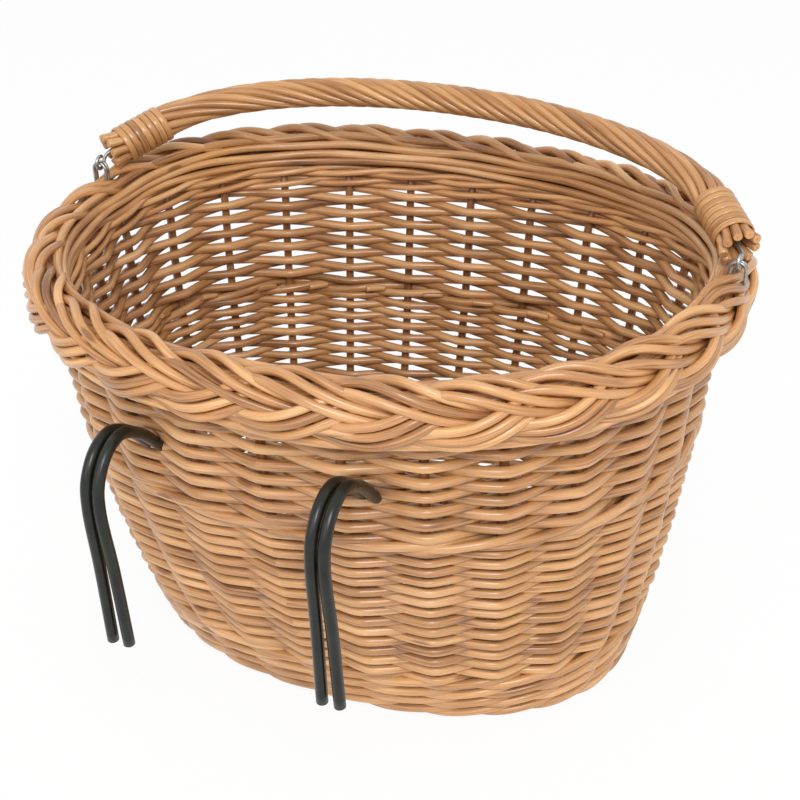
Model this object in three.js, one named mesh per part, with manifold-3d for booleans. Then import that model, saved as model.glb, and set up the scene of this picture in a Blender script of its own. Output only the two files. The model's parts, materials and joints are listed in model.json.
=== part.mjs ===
import * as THREE from 'three';
import { mergeVertices } from 'three/addons/utils/BufferGeometryUtils.js';
import Module from 'manifold-3d';

// Oval willow basket for a bicycle's handlebar, in millimetres, +Z up.
// X runs along the oval, -Y is the side with the two hooks, and the handle lies back towards +Y.

const wasm = await Module();
wasm.setup();

// Outline of the whole basket
const rimHalfLength = 200;
const rimFrontDepth = 197;
const rimBackDepth = 148;
const baseHalfLength = 150;
const baseFrontDepth = 106;
const baseBackDepth = 85;
const basketHeight = 259;
const outlinePower = 2.25;
const wallBulgeShare = 0.68;

// Woven wall, from the foot up
const wallThickness = 11;
const footWaleHeight = 42;
const lowerRandingHeight = 112;
const lowerRandingRows = 27;
const rowGrowthShare = 0.2;
const weaveRelief = 2.4;
const middleWaleHeight = 8;
const wallSeat = 3;
const bandGap = 0.3;

// Plaited border
const borderHeight = 37;
const borderOverhang = 16;
const borderInset = 1;
const borderPower = 2.4;
const borderRelief = 2.6;

// Upright stakes, and the sticks and mat of the base
const stakeCount = 26;
const stakeDiameter = 4.6;
const stakeInsertion = 13;
const stakeTopInsertion = 16;
const matCover = 1.2;
const matRecess = 1.5;
const crossStickDiameter = 7.6;
const longStickWidth = 3.2;
const longStickHeight = 3.8;
const crossStickPairs = 3;
const longStickCount = 3;
const seatClearance = 0.3;

// Two handlebar hooks, each one coated wire bent double
const hookWireDiameter = 6.2;
const hookSpacing = 120;
const hookShift = -6;
const hookBelowBorder = 27;
const hookReach = 53;
const hookRise = 20;
const hookDrop = 97;
const hookTipInset = 10;
const hookTipSpread = 9.5;
const hookWireGap = 0.4;
const hookInnerDrop = 74;
const hookInnerSpread = 11;
const hookWallClearance = 2.2;

// Carrying handle: rods twisted round a core cane, hung on wire loops
const pivotInset = 8;
const pivotAboveBorder = 8;
const handleRise = 93.5;
const boundEndAngle = 55;
const rodCount = 9;
const rodDiameter = 4;
const rodGap = 0.35;
const coreClearance = 0.8;
const ropeTurns = 3.2;
const ropeEaseShare = 0.5;
const rodEndInset = 1;
const rodEndHeight = 9;
const rodEndRadius = 9.5;
const rodBoundRadius = 7.8;
const rodButtAllowance = 0.5;
const restClearance = 0.5;
const coreEndInset = 14;
const bindingStart = 7;
const bindingTurns = 7;
const bindingStripWidth = 3.7;
const bindingStripThickness = 1.1;
const bindingGap = 0.5;
const bindingClearance = 0.45;
const bindingTaperLength = 24;
const bindingTail = 2;
const eyeWireDiameter = 2.2;
const eyeClearance = 0.45;
const eyeShankLength = 16;
const loopWireDiameter = 1.8;
const loopTurns = 2;
const loopPitch = 2.5;
const loopRadius = 4.2;
const loopDepth = 16;

// Mesh fineness
const stationsPerStake = 2;
const innerSpans = 3;
const stakeSides = 4;
const stickSides = 6;
const borderSpansPerSide = 4;
const hookSides = 6;
const hookSteps = 42;
const rodSides = 5;
const rodSteps = 26;
const coreSides = 8;
const coreSteps = 20;
const bindingSides = 16;
const wireSides = 5;
const eyeSteps = 20;
const loopSteps = 18;
const arcSamples = 1440;
const cutOverrun = 2;

// Sizes that follow
const stationCount = stakeCount * stationsPerStake;
const borderWidth = wallThickness + borderOverhang - borderInset;
const borderMiddle = basketHeight - borderHeight / 2;
const wallTop = basketHeight - borderHeight + wallSeat;
const footTop = footWaleHeight;
const lowerTop = footTop + lowerRandingHeight;
const middleTop = lowerTop + middleWaleHeight;
const matThickness = crossStickDiameter + 2 * matCover;
const matMiddle = matRecess + matThickness / 2;
const stakeRadius = stakeDiameter / 2;
const hookRadius = hookWireDiameter / 2;
const hookHeight = basketHeight - borderHeight - hookBelowBorder;
const pivotHalfSpan = rimHalfLength - pivotInset;
const pivotHeight = basketHeight + pivotAboveBorder;
const ropeRadius = (rodDiameter + rodGap) / (2 * Math.sin(Math.PI / rodCount));
const coreRadius = ropeRadius - rodDiameter / 2 - coreClearance;
const rodEndHalfSpan = pivotHalfSpan - rodEndInset;
const bindingPitch = bindingStripWidth + bindingGap;
const bindingRadius = rodBoundRadius + rodDiameter / 2 + bindingClearance;

const eyeRadius = (loopPitch + loopWireDiameter + eyeWireDiameter) / 2 + eyeClearance;

// The handle leans back until the cut rod ends meet the top of the border
const rodEndOuter = rodEndRadius + rodDiameter / 2 + rodButtAllowance;
const rodEndReach = Math.hypot(rodEndHeight, rodEndOuter);
const restLean = Math.asin((pivotAboveBorder - restClearance) / rodEndReach)
  + Math.atan2(rodEndHeight, rodEndOuter);

const willow = new THREE.MeshStandardMaterial({ color: 0xd6a56a, roughness: 0.55, metalness: 0 });
const borderWillow = new THREE.MeshStandardMaterial({ color: 0xdfae70, roughness: 0.5, metalness: 0 });
const stakeWillow = new THREE.MeshStandardMaterial({ color: 0x9c6b42, roughness: 0.65, metalness: 0 });
const handleWillow = new THREE.MeshStandardMaterial({ color: 0xd99f60, roughness: 0.5, metalness: 0 });
const cane = new THREE.MeshStandardMaterial({ color: 0xe3b47c, roughness: 0.5, metalness: 0 });
const coatedWire = new THREE.MeshStandardMaterial({ color: 0x22241f, roughness: 0.3, metalness: 0 });
const steelWire = new THREE.MeshStandardMaterial({ color: 0x8d8f8c, roughness: 0.35, metalness: 1 });

// Meshes and solids

function geometryFrom(positions, index) {
  const geometry = new THREE.BufferGeometry();
  geometry.setAttribute('position', new THREE.Float32BufferAttribute(positions, 3));
  geometry.setIndex(index);
  return geometry;
}

function signedVolume(positions, index) {
  let volume = 0;
  for (let i = 0; i < index.length; i += 3) {
    const [a, b, c] = [0, 1, 2].map((k) => new THREE.Vector3().fromArray(positions, 3 * index[i + k]));
    volume += a.dot(b.cross(c));
  }
  return volume;
}

// A skin over rings of points: a closed ring of sections, or a row of sections with capped ends
function loft(rings, closed) {
  const size = rings[0].length;
  const points = rings.flat();
  const index = [];
  const spans = closed ? rings.length : rings.length - 1;
  for (let i = 0; i < spans; i++) {
    for (let j = 0; j < size; j++) {
      const next = (j + 1) % size;
      const here = i * size;
      const there = ((i + 1) % rings.length) * size;
      index.push(here + j, here + next, there + next, here + j, there + next, there + j);
    }
  }
  if (!closed) {
    for (const [ring, turn] of [[0, 1], [rings.length - 1, -1]]) {
      const middle = new THREE.Vector3();
      rings[ring].forEach((point) => middle.addScaledVector(point, 1 / size));
      points.push(middle);
      for (let j = 0; j < size; j++) {
        const edge = [ring * size + j, ring * size + ((j + 1) % size)];
        if (turn > 0) edge.reverse();
        index.push(...edge, points.length - 1);
      }
    }
  }
  const positions = points.flatMap((point) => point.toArray());
  if (signedVolume(positions, index) < 0) index.reverse();
  return geometryFrom(positions, index);
}

function solidOf(geometry) {
  const bare = geometry.clone();
  bare.deleteAttribute('normal');
  bare.deleteAttribute('uv');
  const merged = mergeVertices(bare);
  return new wasm.Manifold(new wasm.Mesh({
    numProp: 3,
    vertProperties: new Float32Array(merged.attributes.position.array),
    triVerts: new Uint32Array(merged.index.array),
  }));
}

function cut(geometry, cutters) {
  let solid = solidOf(geometry);
  for (const cutter of cutters) solid = solid.subtract(solidOf(cutter));
  const mesh = solid.getMesh();
  return geometryFrom(Array.from(mesh.vertProperties), Array.from(mesh.triVerts));
}

function polygon(radius, sides) {
  const shape = new THREE.Shape();
  for (let i = 0; i < sides; i++) {
    const angle = (2 * Math.PI * i) / sides;
    const point = [radius * Math.cos(angle), radius * Math.sin(angle)];
    if (i === 0) shape.moveTo(...point);
    else shape.lineTo(...point);
  }
  shape.closePath();
  return shape;
}

function tube(path, radius, sides, steps) {
  return new THREE.ExtrudeGeometry(polygon(radius, sides), { extrudePath: path, steps, bevelEnabled: false });
}

// Points round a middle, spread along two directions
function ringOf(middle, across, up, radius, sides) {
  return Array.from({ length: sides }, (_, k) => {
    const angle = (2 * Math.PI * k) / sides;
    return middle.clone()
      .addScaledVector(across, radius * Math.cos(angle))
      .addScaledVector(up, radius * Math.sin(angle));
  });
}

// The least distance between two turns of a winding, from its own ring points
function leastTurnGap(rings, stepsPerTurn) {
  let least = Infinity;
  for (let i = 0; i < rings.length; i++) {
    for (let j = i + Math.ceil(stepsPerTurn / 2); j < rings.length; j++) {
      for (const a of rings[i]) {
        for (const b of rings[j]) least = Math.min(least, a.distanceTo(b));
      }
    }
  }
  return least;
}

// The oval outline and the wall that rises from it

function ovalPoint(angle, size) {
  const [c, s] = [Math.cos(angle), Math.sin(angle)];
  const depth = s < 0 ? size.front : size.back;
  return new THREE.Vector3(
    size.halfLength * Math.sign(c) * Math.abs(c) ** (2 / outlinePower),
    depth * Math.sign(s) * Math.abs(s) ** (2 / outlinePower),
    0,
  );
}

const rimSize = { halfLength: rimHalfLength, front: rimFrontDepth, back: rimBackDepth };

// Outer wall size at a height, moved in or out by an offset
function wallSize(z, offset) {
  const share = z / wallTop;
  const grown = share + wallBulgeShare * share * (1 - share);
  const between = (low, high) => low + (high - borderOverhang - low) * grown + offset;
  return {
    halfLength: between(baseHalfLength, rimHalfLength),
    front: between(baseFrontDepth, rimFrontDepth),
    back: between(baseBackDepth, rimBackDepth),
  };
}

// Angles at equal steps round the oval, starting at the middle of the hook side
const stationAngles = (() => {
  const size = wallSize(wallTop, -wallThickness / 2);
  const angleAt = (i) => -Math.PI / 2 + (2 * Math.PI * i) / arcSamples;
  const lengths = [0];
  for (let i = 1; i <= arcSamples; i++) {
    const step = ovalPoint(angleAt(i), size).distanceTo(ovalPoint(angleAt(i - 1), size));
    lengths.push(lengths[i - 1] + step);
  }
  return (share) => {
    const target = (share - Math.floor(share)) * lengths[arcSamples];
    const i = Math.max(1, lengths.findIndex((length) => length >= target));
    const part = (target - lengths[i - 1]) / (lengths[i] - lengths[i - 1]);
    return angleAt(i - 1 + part);
  };
})();

// A point of the wall: share of the way round, height, and distance out from the wall's middle
function wallPoint(share, z, out) {
  const point = ovalPoint(stationAngles(share), wallSize(z, out - wallThickness / 2));
  return point.setZ(z);
}

// The hook side's wall face at a given x, as a y
function wallFaceY(x, z, out) {
  const size = wallSize(z, out - wallThickness / 2);
  return -size.front * (1 - Math.abs(x / size.halfLength) ** outlinePower) ** (1 / outlinePower);
}

// Stakes stand midway between two stations
function stationShares() {
  return Array.from({ length: stationCount }, (_, i) => (i + 0.5) / stationCount);
}

// A band of weave between heights, as a closed ring
function wallBand(heights) {
  const half = wallThickness / 2;
  return loft(stationShares().map((share) => [
    ...heights.map((z) => wallPoint(share, z, half)),
    ...heights.toReversed().map((z) => wallPoint(share, z, -half)),
  ]), true);
}

function evenly(low, high, spans) {
  return Array.from({ length: spans + 1 }, (_, i) => low + ((high - low) * i) / spans);
}

// Heights of the rows of randing, which are thicker at the foot than at the top
function rowHeights(low, high, rows) {
  return evenly(0, 1, rows - 1).map((share) => {
    return low + (high - low) * share * (1 + rowGrowthShare * (1 - share));
  });
}

// A band of randing: outside, each row stands out over one stake and sinks in behind the next
function randingBand(heights) {
  const half = wallThickness / 2;
  return loft(Array.from({ length: stakeCount }, (_, i) => [
    ...heights.map((z, row) => wallPoint(i / stakeCount, z, half - weaveRelief * ((i + row) % 2))),
    ...evenly(heights.at(-1), heights[0], innerSpans).map((z) => wallPoint(i / stakeCount, z, -half)),
  ]), true);
}

// Stakes: pushed into the mat's edge, pricked up through the wall and turned into the border
function stake(share, clearance) {
  const inner = -wallThickness / 2 - seatClearance - stakeInsertion - clearance;
  const root = wallPoint(share, matMiddle, inner);
  const corner = wallPoint(share, matMiddle, 0);
  const rising = evenly(footTop, wallTop, 3).map((z) => wallPoint(share, z, 0));
  const borderMiddleOut = borderOverhang + (wallThickness - borderWidth) / 2;
  const tip = wallPoint(share, wallTop + stakeTopInsertion + clearance, borderMiddleOut);
  const outward = corner.clone().sub(root).normalize();
  const upward = rising[0].clone().sub(corner).normalize();
  const bendAxis = outward.clone().cross(upward).normalize();
  const halfTurn = outward.angleTo(upward) / 2;
  const mitre = outward.clone().sub(upward).setLength(1 / Math.cos(halfTurn));
  const cornerRing = ringOf(corner, bendAxis, mitre, stakeRadius + clearance, stakeSides);
  const slid = (direction, plane) => cornerRing.map((point) => {
    return new THREE.Ray(point, direction).intersectPlane(plane, new THREE.Vector3());
  });
  const rootPlane = new THREE.Plane().setFromNormalAndCoplanarPoint(outward, root);
  const rootRing = slid(outward.clone().negate(), rootPlane);
  const footRing = slid(upward, new THREE.Plane(new THREE.Vector3(0, 0, -1), footTop));
  const above = [...rising.slice(1), tip].map((place) => {
    return footRing.map((point) => point.clone().add(place).sub(rising[0]));
  });
  return loft([rootRing, cornerRing, footRing, ...above], false);
}

// Base: sticks split by sticks, woven round as one mat

const matEdgeOut = -wallThickness / 2 - seatClearance;

function matEdgeAt(x, y) {
  const size = wallSize(matMiddle, matEdgeOut - wallThickness / 2);
  if (x !== null) {
    const rest = (1 - Math.abs(x / size.halfLength) ** outlinePower) ** (1 / outlinePower);
    return [-size.front * rest, size.back * rest];
  }
  const depth = y < 0 ? size.front : size.back;
  const rest = size.halfLength * (1 - Math.abs(y / depth) ** outlinePower) ** (1 / outlinePower);
  return [-rest, rest];
}

// Sticks lie midway between stakes, so that their ends and the stakes' ends miss each other
const crossStickPlaces = Array.from({ length: crossStickPairs }, (_, i) => {
  const { x } = wallPoint((i + 0.5) / stakeCount, matMiddle, matEdgeOut);
  return [-x, x];
}).flat().sort((a, b) => a - b);

const longStickPlaces = (() => {
  const firstStation = Math.round((stakeCount - 2 * longStickCount) / 4) + 0.5;
  return Array.from({ length: longStickCount }, (_, i) => {
    return wallPoint((firstStation + i) / stakeCount, matMiddle, matEdgeOut).y;
  });
})();

function crossStick(x, clearance) {
  const [low, high] = matEdgeAt(x, null);
  const inset = clearance > 0 ? -cutOverrun : matThickness / 2;
  const length = high - low - 2 * inset;
  const radius = crossStickDiameter / 2 + clearance;
  return new THREE.CylinderGeometry(radius, radius, length, stickSides)
    .translate(x, (low + high) / 2, 0)
    .applyMatrix4(new THREE.Matrix4().makeTranslation(0, 0, matMiddle));
}

function longStick(y, clearance) {
  const [low, high] = matEdgeAt(null, y);
  const inset = clearance > 0 ? -cutOverrun : matThickness / 2;
  const length = high - low - 2 * inset;
  return new THREE.BoxGeometry(length, longStickWidth + 2 * clearance, longStickHeight + 2 * clearance)
    .translate(0, y, matMiddle);
}

// The mat fills the foot wale, whose inner face is straight from its foot to its top
function baseMat(cutters) {
  const waleTop = footTop - bandGap;
  const rings = [matRecess, matRecess + matThickness].map((z) => stationShares().map((share) => {
    return wallPoint(share, 0, matEdgeOut).lerp(wallPoint(share, waleTop, matEdgeOut), z / waleTop);
  }));
  return cut(loft(rings, false), cutters);
}

// Border: a rounded band along the rim, notched to sit on the wall's top

// Section corners, as distances out from the rim's outline and up from the border's middle
function borderSection() {
  const half = borderWidth / 2;
  const rise = borderHeight / 2;
  const notchOut = seatClearance - borderOverhang;
  const notchUp = wallTop - borderMiddle;
  const start = -Math.PI / 2 - Math.asin(Math.abs((notchOut + half) / half) ** (borderPower / 2));
  const end = Math.PI + Math.asin(Math.abs(notchUp / rise) ** (borderPower / 2));
  const top = Math.PI / 2;
  const turns = [...evenly(start, top, borderSpansPerSide), ...evenly(top, end, borderSpansPerSide).slice(1)];
  const round = turns.map((turn) => {
    const [c, s] = [Math.cos(turn), Math.sin(turn)];
    const out = half * Math.sign(c) * Math.abs(c) ** (2 / borderPower) - half;
    return [out, rise * Math.sign(s) * Math.abs(s) ** (2 / borderPower)];
  });
  return [...round, [notchOut, notchUp]];
}

// The plait's strands stand out in turn, along the rim and over its top, except beside the wire loops
function borderRing() {
  const section = borderSection();
  const half = borderWidth / 2;
  const place = (share, out, up) => ovalPoint(stationAngles(share), {
    halfLength: rimSize.halfLength + out,
    front: rimSize.front + out,
    back: rimSize.back + out,
  }).setZ(borderMiddle + up);
  return loft(stationShares().map((share, i) => section.map(([out, up], j) => {
    const besideLoop = Math.abs(place(share, out, up).y) < 3 * loopRadius;
    const plaited = j > 0 && j < section.length - 2 && !besideLoop;
    const sunk = plaited && (i + j) % 2 === 1 ? borderRelief / Math.hypot(out + half, up) : 0;
    return place(share, out - (out + half) * sunk, up - up * sunk);
  })), true);
}

// Hooks

// Shares of the reach and the rise that the arch passes through outside the wall
const hookArchShares = [[0.25, 0.6], [0.57, 1], [0.81, 0.8], [0.97, 0.22], [1, -0.45]];

function hookPath(centreX) {
  const exitY = wallFaceY(centreX, hookHeight, wallThickness / 2);
  const close = hookWireDiameter / 2 + hookWireGap / 2;
  const innerEnd = hookHeight - hookInnerDrop;
  const beside = (side, x, z) => {
    const face = wallFaceY(centreX + side * x, z, -wallThickness / 2);
    return [x, face + hookWallClearance + hookRadius, z];
  };
  const half = (side) => [
    [hookTipSpread / 2, exitY - hookReach + hookTipInset, hookHeight - hookDrop],
    [(hookTipSpread / 2 + close) / 2, exitY - hookReach + hookTipInset / 2, hookHeight - hookDrop / 2],
    ...hookArchShares.toReversed().map(([reach, rise]) => {
      return [close, exitY - reach * hookReach, hookHeight + rise * hookRise];
    }),
    [close, exitY, hookHeight],
    [close, exitY + wallThickness / 2, hookHeight - wallThickness / 2],
    beside(side, close, hookHeight - hookRise),
    beside(side, close, hookHeight - hookInnerDrop / 2),
    beside(side, hookInnerSpread / 2, innerEnd + hookInnerSpread),
  ];
  const leg = (side) => half(side).map(([x, y, z]) => new THREE.Vector3(centreX + side * x, y, z));
  const [, turnY] = beside(0, 0, innerEnd);
  return new THREE.CatmullRomCurve3([
    ...leg(1),
    new THREE.Vector3(centreX, turnY, innerEnd),
    ...leg(-1).toReversed(),
  ]);
}

// Handle, modelled upright: X along the hinge line, Z away from it

const bindingLength = bindingTurns * bindingPitch;
const boundLength = bindingStart + bindingLength + bindingTail;

// Share of the arch's parameter that each straight end takes
const straightEndShare = 0.1;

// Straight bound ends, joined by the stretch of an ellipse that leaves both without a kink
class Arch extends THREE.Curve {
  constructor() {
    super();
    const angle = THREE.MathUtils.degToRad(boundEndAngle);
    this.end = new THREE.Vector3(rodEndHalfSpan, 0, rodEndHeight);
    this.joint = this.end.clone().add(
      new THREE.Vector3(-boundLength * Math.cos(angle), 0, boundLength * Math.sin(angle)),
    );
    const slope = Math.tan(angle);
    const drop = handleRise - this.joint.z;
    const sunk = drop ** 2 / (this.joint.x * slope - 2 * drop);
    this.semiRise = drop + sunk;
    this.semiSpan = this.semiRise * Math.sqrt(this.joint.x / (slope * sunk));
    this.middleHeight = this.joint.z - sunk;
  }

  getPoint(t) {
    const side = t < 0.5 ? -1 : 1;
    const fromEnd = t < 0.5 ? t : 1 - t;
    if (fromEnd < straightEndShare) {
      const point = this.end.clone().lerp(this.joint, fromEnd / straightEndShare);
      return point.setX(side * point.x);
    }
    const reach = Math.asin(this.joint.x / this.semiSpan);
    const turn = (reach * (0.5 - fromEnd)) / (0.5 - straightEndShare);
    return new THREE.Vector3(
      side * this.semiSpan * Math.sin(turn),
      0,
      this.middleHeight + this.semiRise * Math.cos(turn),
    );
  }
}

class ArchStretch extends THREE.Curve {
  constructor(arch, from, to) {
    super();
    Object.assign(this, { arch, from, to });
  }

  getPoint(t) {
    return this.arch.getPointAt(this.from + (this.to - this.from) * t);
  }
}

const arch = new Arch();
const archLength = arch.getLength();
const sideways = new THREE.Vector3(0, 1, 0);

// A place beside the arch: distance along, angle round it and distance out from it
function roundArch(length, angle, radius) {
  const share = length / archLength;
  const along = arch.getTangentAt(share);
  const outward = along.clone().cross(sideways);
  return arch.getPointAt(share)
    .addScaledVector(sideways, radius * Math.cos(angle))
    .addScaledVector(outward, radius * Math.sin(angle));
}

// How far the rods lie from the core's middle: tight along the grip, fuller at the ends
function rodRadiusAt(length) {
  const fromEnd = Math.min(length, archLength - length);
  const flare = 1 - THREE.MathUtils.smoothstep(fromEnd, 0, bindingStart);
  const bound = 1 - THREE.MathUtils.smoothstep(
    fromEnd,
    bindingStart + bindingLength,
    bindingStart + bindingLength + bindingTaperLength,
  );
  return ropeRadius + (rodBoundRadius - ropeRadius) * bound + (rodEndRadius - rodBoundRadius) * flare;
}

function ropeAngleAt(length) {
  const share = length / archLength;
  const eased = share - (ropeEaseShare * Math.sin(2 * Math.PI * share)) / (2 * Math.PI);
  return 2 * Math.PI * ropeTurns * eased;
}

function handleRod(i) {
  const stops = [bindingStart, bindingStart + bindingLength / 2, bindingStart + bindingLength];
  const middle = evenly(0, 1, rodSteps).slice(1, -1).map((u) => {
    const share = u + (ropeEaseShare * Math.sin(2 * Math.PI * u)) / (2 * Math.PI);
    return stops[2] + (archLength - 2 * stops[2]) * share;
  });
  const ends = stops.toReversed().map((stop) => archLength - stop);
  const lengths = [0, ...stops, ...middle, ...ends, archLength];
  const base = (2 * Math.PI * i) / rodCount;
  const points = lengths.map((at) => roundArch(at, base + ropeAngleAt(at), rodRadiusAt(at)));
  return loft(points.map((point, k) => {
    const before = points[Math.max(k - 1, 0)];
    const along = points[Math.min(k + 1, points.length - 1)].clone().sub(before).normalize();
    const across = sideways.clone().addScaledVector(along, -sideways.dot(along)).normalize();
    return ringOf(point, across, along.clone().cross(across), rodDiameter / 2, rodSides);
  }), false);
}

// A flat cane strip wound round the rods, both ends run out straight
function bindingRings(fromEnd) {
  const steps = bindingTurns * bindingSides;
  const direction = fromEnd > archLength / 2 ? -1 : 1;
  const strip = (i, slide) => {
    const angle = (2 * Math.PI * i) / bindingSides;
    const length = fromEnd + direction * ((bindingPitch * i) / bindingSides + bindingStripWidth / 2);
    const tangent = roundArch(length, angle + Math.PI / 2, 1).sub(roundArch(length, angle, 0));
    const along = arch.getTangentAt(length / archLength);
    const corners = [[0, -1], [0, 1], [1, 1], [1, -1]];
    return corners.map(([out, side]) => {
      return roundArch(length, angle, bindingRadius + out * bindingStripThickness)
        .addScaledVector(along, (side * bindingStripWidth) / 2)
        .addScaledVector(tangent, slide);
    });
  };
  const rings = Array.from({ length: steps + 1 }, (_, i) => strip(i, 0));
  return [strip(0, -bindingStripWidth), ...rings, strip(steps, bindingStripWidth)];
}

// Shares of a full turn that the eye's wire passes through round the hinge line
const eyeBendShares = [0.12, 0.3, 0.45, 0.6, 0.75, 0.88];

// The wire eye that hangs the handle: a shank in the core's end, bent round the hinge line
function eyePath(end) {
  const archEnd = (inset) => arch.getPointAt(end > 0 ? 1 - inset / archLength : inset / archLength);
  const centre = new THREE.Vector3(end * pivotHalfSpan, 0, 0);
  const bend = eyeBendShares.map((share) => {
    const angle = 2 * Math.PI * share;
    return centre.clone().add(new THREE.Vector3(0, eyeRadius * Math.sin(angle), eyeRadius * Math.cos(angle)));
  });
  return new THREE.CatmullRomCurve3([
    archEnd(coreEndInset + eyeShankLength),
    archEnd(coreEndInset + eyeShankLength / 2),
    archEnd(coreEndInset),
    archEnd(coreEndInset / 2),
    centre.clone().setZ(2 * eyeRadius),
    ...bend,
  ]);
}

// A double turn of wire standing out of the border, its top on the hinge line
class WireLoop extends THREE.Curve {
  constructor(centreX) {
    super();
    this.centreX = centreX;
  }

  getPoint(t) {
    const straight = loopDepth;
    const bend = Math.PI * loopRadius;
    const lap = 2 * (straight + bend);
    let run = ((t * loopTurns) % 1) * lap;
    if (t === 1) run = lap;
    const top = pivotHeight - loopRadius;
    const bottom = top - straight;
    const place = (angle, z) => [loopRadius * Math.sin(angle), z - loopRadius * Math.cos(angle)];
    let xz;
    if (run < bend / 2) xz = place(run / loopRadius, bottom);
    else if (run < bend / 2 + straight) xz = [loopRadius, bottom + run - bend / 2];
    else if (run < bend * 1.5 + straight) xz = place((run - straight) / loopRadius, top);
    else if (run < bend * 1.5 + 2 * straight) xz = [-loopRadius, top - (run - bend * 1.5 - straight)];
    else xz = place((run - 2 * straight) / loopRadius, bottom);
    return new THREE.Vector3(this.centreX + xz[0], loopPitch * loopTurns * (t - 0.5), xz[1]);
  }
}

// The slot in the border that a wire loop is threaded through
function loopSlot(centreX) {
  const half = loopWireDiameter / 2 + seatClearance;
  const top = pivotHeight - loopRadius;
  const outline = (grow) => {
    const shape = new THREE.Shape();
    shape.absarc(0, top, loopRadius + grow, 0, Math.PI, false);
    shape.absarc(0, top - loopDepth, loopRadius + grow, Math.PI, 2 * Math.PI, false);
    shape.closePath();
    return shape;
  };
  const ring = outline(half);
  ring.holes.push(outline(-half));
  const depth = loopPitch * loopTurns + 2 * half + loopWireDiameter;
  return new THREE.ExtrudeGeometry(ring, { depth, bevelEnabled: false, curveSegments: wireSides })
    .rotateX(Math.PI / 2)
    .translate(centreX, depth / 2, 0);
}

// Assembly

const basket = new THREE.Group();
const handle = new THREE.Group();
handle.position.set(0, 0, pivotHeight);
handle.rotation.x = -restLean;

function addPiece(group, name, geometry, material) {
  const mesh = new THREE.Mesh(geometry, material);
  mesh.name = name;
  group.add(mesh);
}

const stakeShares = Array.from({ length: stakeCount }, (_, i) => i / stakeCount);
const stakeHoles = stakeShares.map((share) => stake(share, seatClearance));
const hooks = [
  ['hook_left', hookShift - hookSpacing / 2],
  ['hook_right', hookShift + hookSpacing / 2],
];
const ends = [['left', -1], ['right', 1]];

const bands = [
  ['foot_wale', wallBand([0, footTop - bandGap])],
  ['lower_randing', randingBand(rowHeights(footTop, lowerTop - bandGap, lowerRandingRows))],
  ['middle_wale', wallBand([lowerTop, middleTop - bandGap])],
  ['upper_randing', wallBand([middleTop, wallTop - bandGap])],
];
const hookHoles = hooks.map(([, x]) => tube(hookPath(x), hookRadius + seatClearance, hookSides, hookSteps));
for (const [name, band] of bands) {
  addPiece(basket, name, cut(band, [...stakeHoles, ...hookHoles]), willow);
}

const loopSlots = ends.map(([, end]) => loopSlot(end * pivotHalfSpan));
addPiece(basket, 'border_plait', cut(borderRing(), [...stakeHoles, ...loopSlots]), borderWillow);

stakeShares.forEach((share, i) => {
  addPiece(basket, `stake_${String(i + 1).padStart(2, '0')}`, stake(share, 0), stakeWillow);
});

const slitHoles = longStickPlaces.map((y) => longStick(y, seatClearance));
const stickHoles = crossStickPlaces.map((x) => crossStick(x, seatClearance));
addPiece(basket, 'base_mat', baseMat([...slitHoles, ...stickHoles, ...stakeHoles]), willow);
crossStickPlaces.forEach((x, i) => {
  addPiece(basket, `base_cross_stick_${i + 1}`, cut(crossStick(x, 0), slitHoles), stakeWillow);
});
longStickPlaces.forEach((y, i) => {
  addPiece(basket, `base_long_stick_${i + 1}`, longStick(y, 0), stakeWillow);
});

for (const [name, x] of hooks) {
  addPiece(basket, name, tube(hookPath(x), hookRadius, hookSides, hookSteps), coatedWire);
}

for (const [side, end] of ends) {
  const path = new WireLoop(end * pivotHalfSpan);
  const steps = loopTurns * loopSteps;
  const centres = evenly(0, 1, steps * 4).map((t) => [path.getPointAt(t)]);
  const gap = leastTurnGap(centres, loopSteps * 4) - loopWireDiameter;
  console.log(`loop_${side}: least gap between its turns ${gap.toFixed(2)} mm`);
  addPiece(basket, `loop_${side}`, tube(path, loopWireDiameter / 2, wireSides, steps), steelWire);
}

const coreSpan = coreEndInset / archLength;
const core = tube(new ArchStretch(arch, coreSpan, 1 - coreSpan), coreRadius, coreSides, coreSteps);
const eyeHoles = ends.map(([, end]) => {
  return tube(eyePath(end), eyeWireDiameter / 2 + seatClearance, wireSides, eyeSteps);
});
addPiece(handle, 'handle_core', cut(core, eyeHoles), handleWillow);
for (let i = 0; i < rodCount; i++) addPiece(handle, `handle_rod_${i + 1}`, handleRod(i), handleWillow);

for (const [side, end] of ends) {
  const rings = bindingRings(end < 0 ? bindingStart : archLength - bindingStart);
  const gap = leastTurnGap(rings, bindingSides);
  console.log(`binding_${side}: least gap between its turns ${gap.toFixed(2)} mm`);
  addPiece(handle, `binding_${side}`, loft(rings, false), cane);
  addPiece(handle, `eye_${side}`, tube(eyePath(end), eyeWireDiameter / 2, wireSides, eyeSteps), steelWire);
}

// The origin is on the floor under the middle of the whole part
const group = new THREE.Group();
group.add(basket, handle);
group.updateMatrixWorld(true);
const bounds = new THREE.Box3().setFromObject(group, true);
const middle = bounds.getCenter(new THREE.Vector3());
group.position.set(-middle.x, -middle.y, -bounds.min.z);
group.updateMatrixWorld(true);

export default group;
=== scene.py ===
"""Oval willow basket for a bicycle's handlebar: woven walls, plaited border, twisted handle, wire hooks.

Lengths are millimetres in the basket's own frame, whose Y is zero on the handle's hinge line. Meshes are
written in metres in the part's frame. The floor, the lamps and their places are in metres.
"""
import json
import math

import bpy
import numpy as np
from mathutils import Matrix


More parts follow.
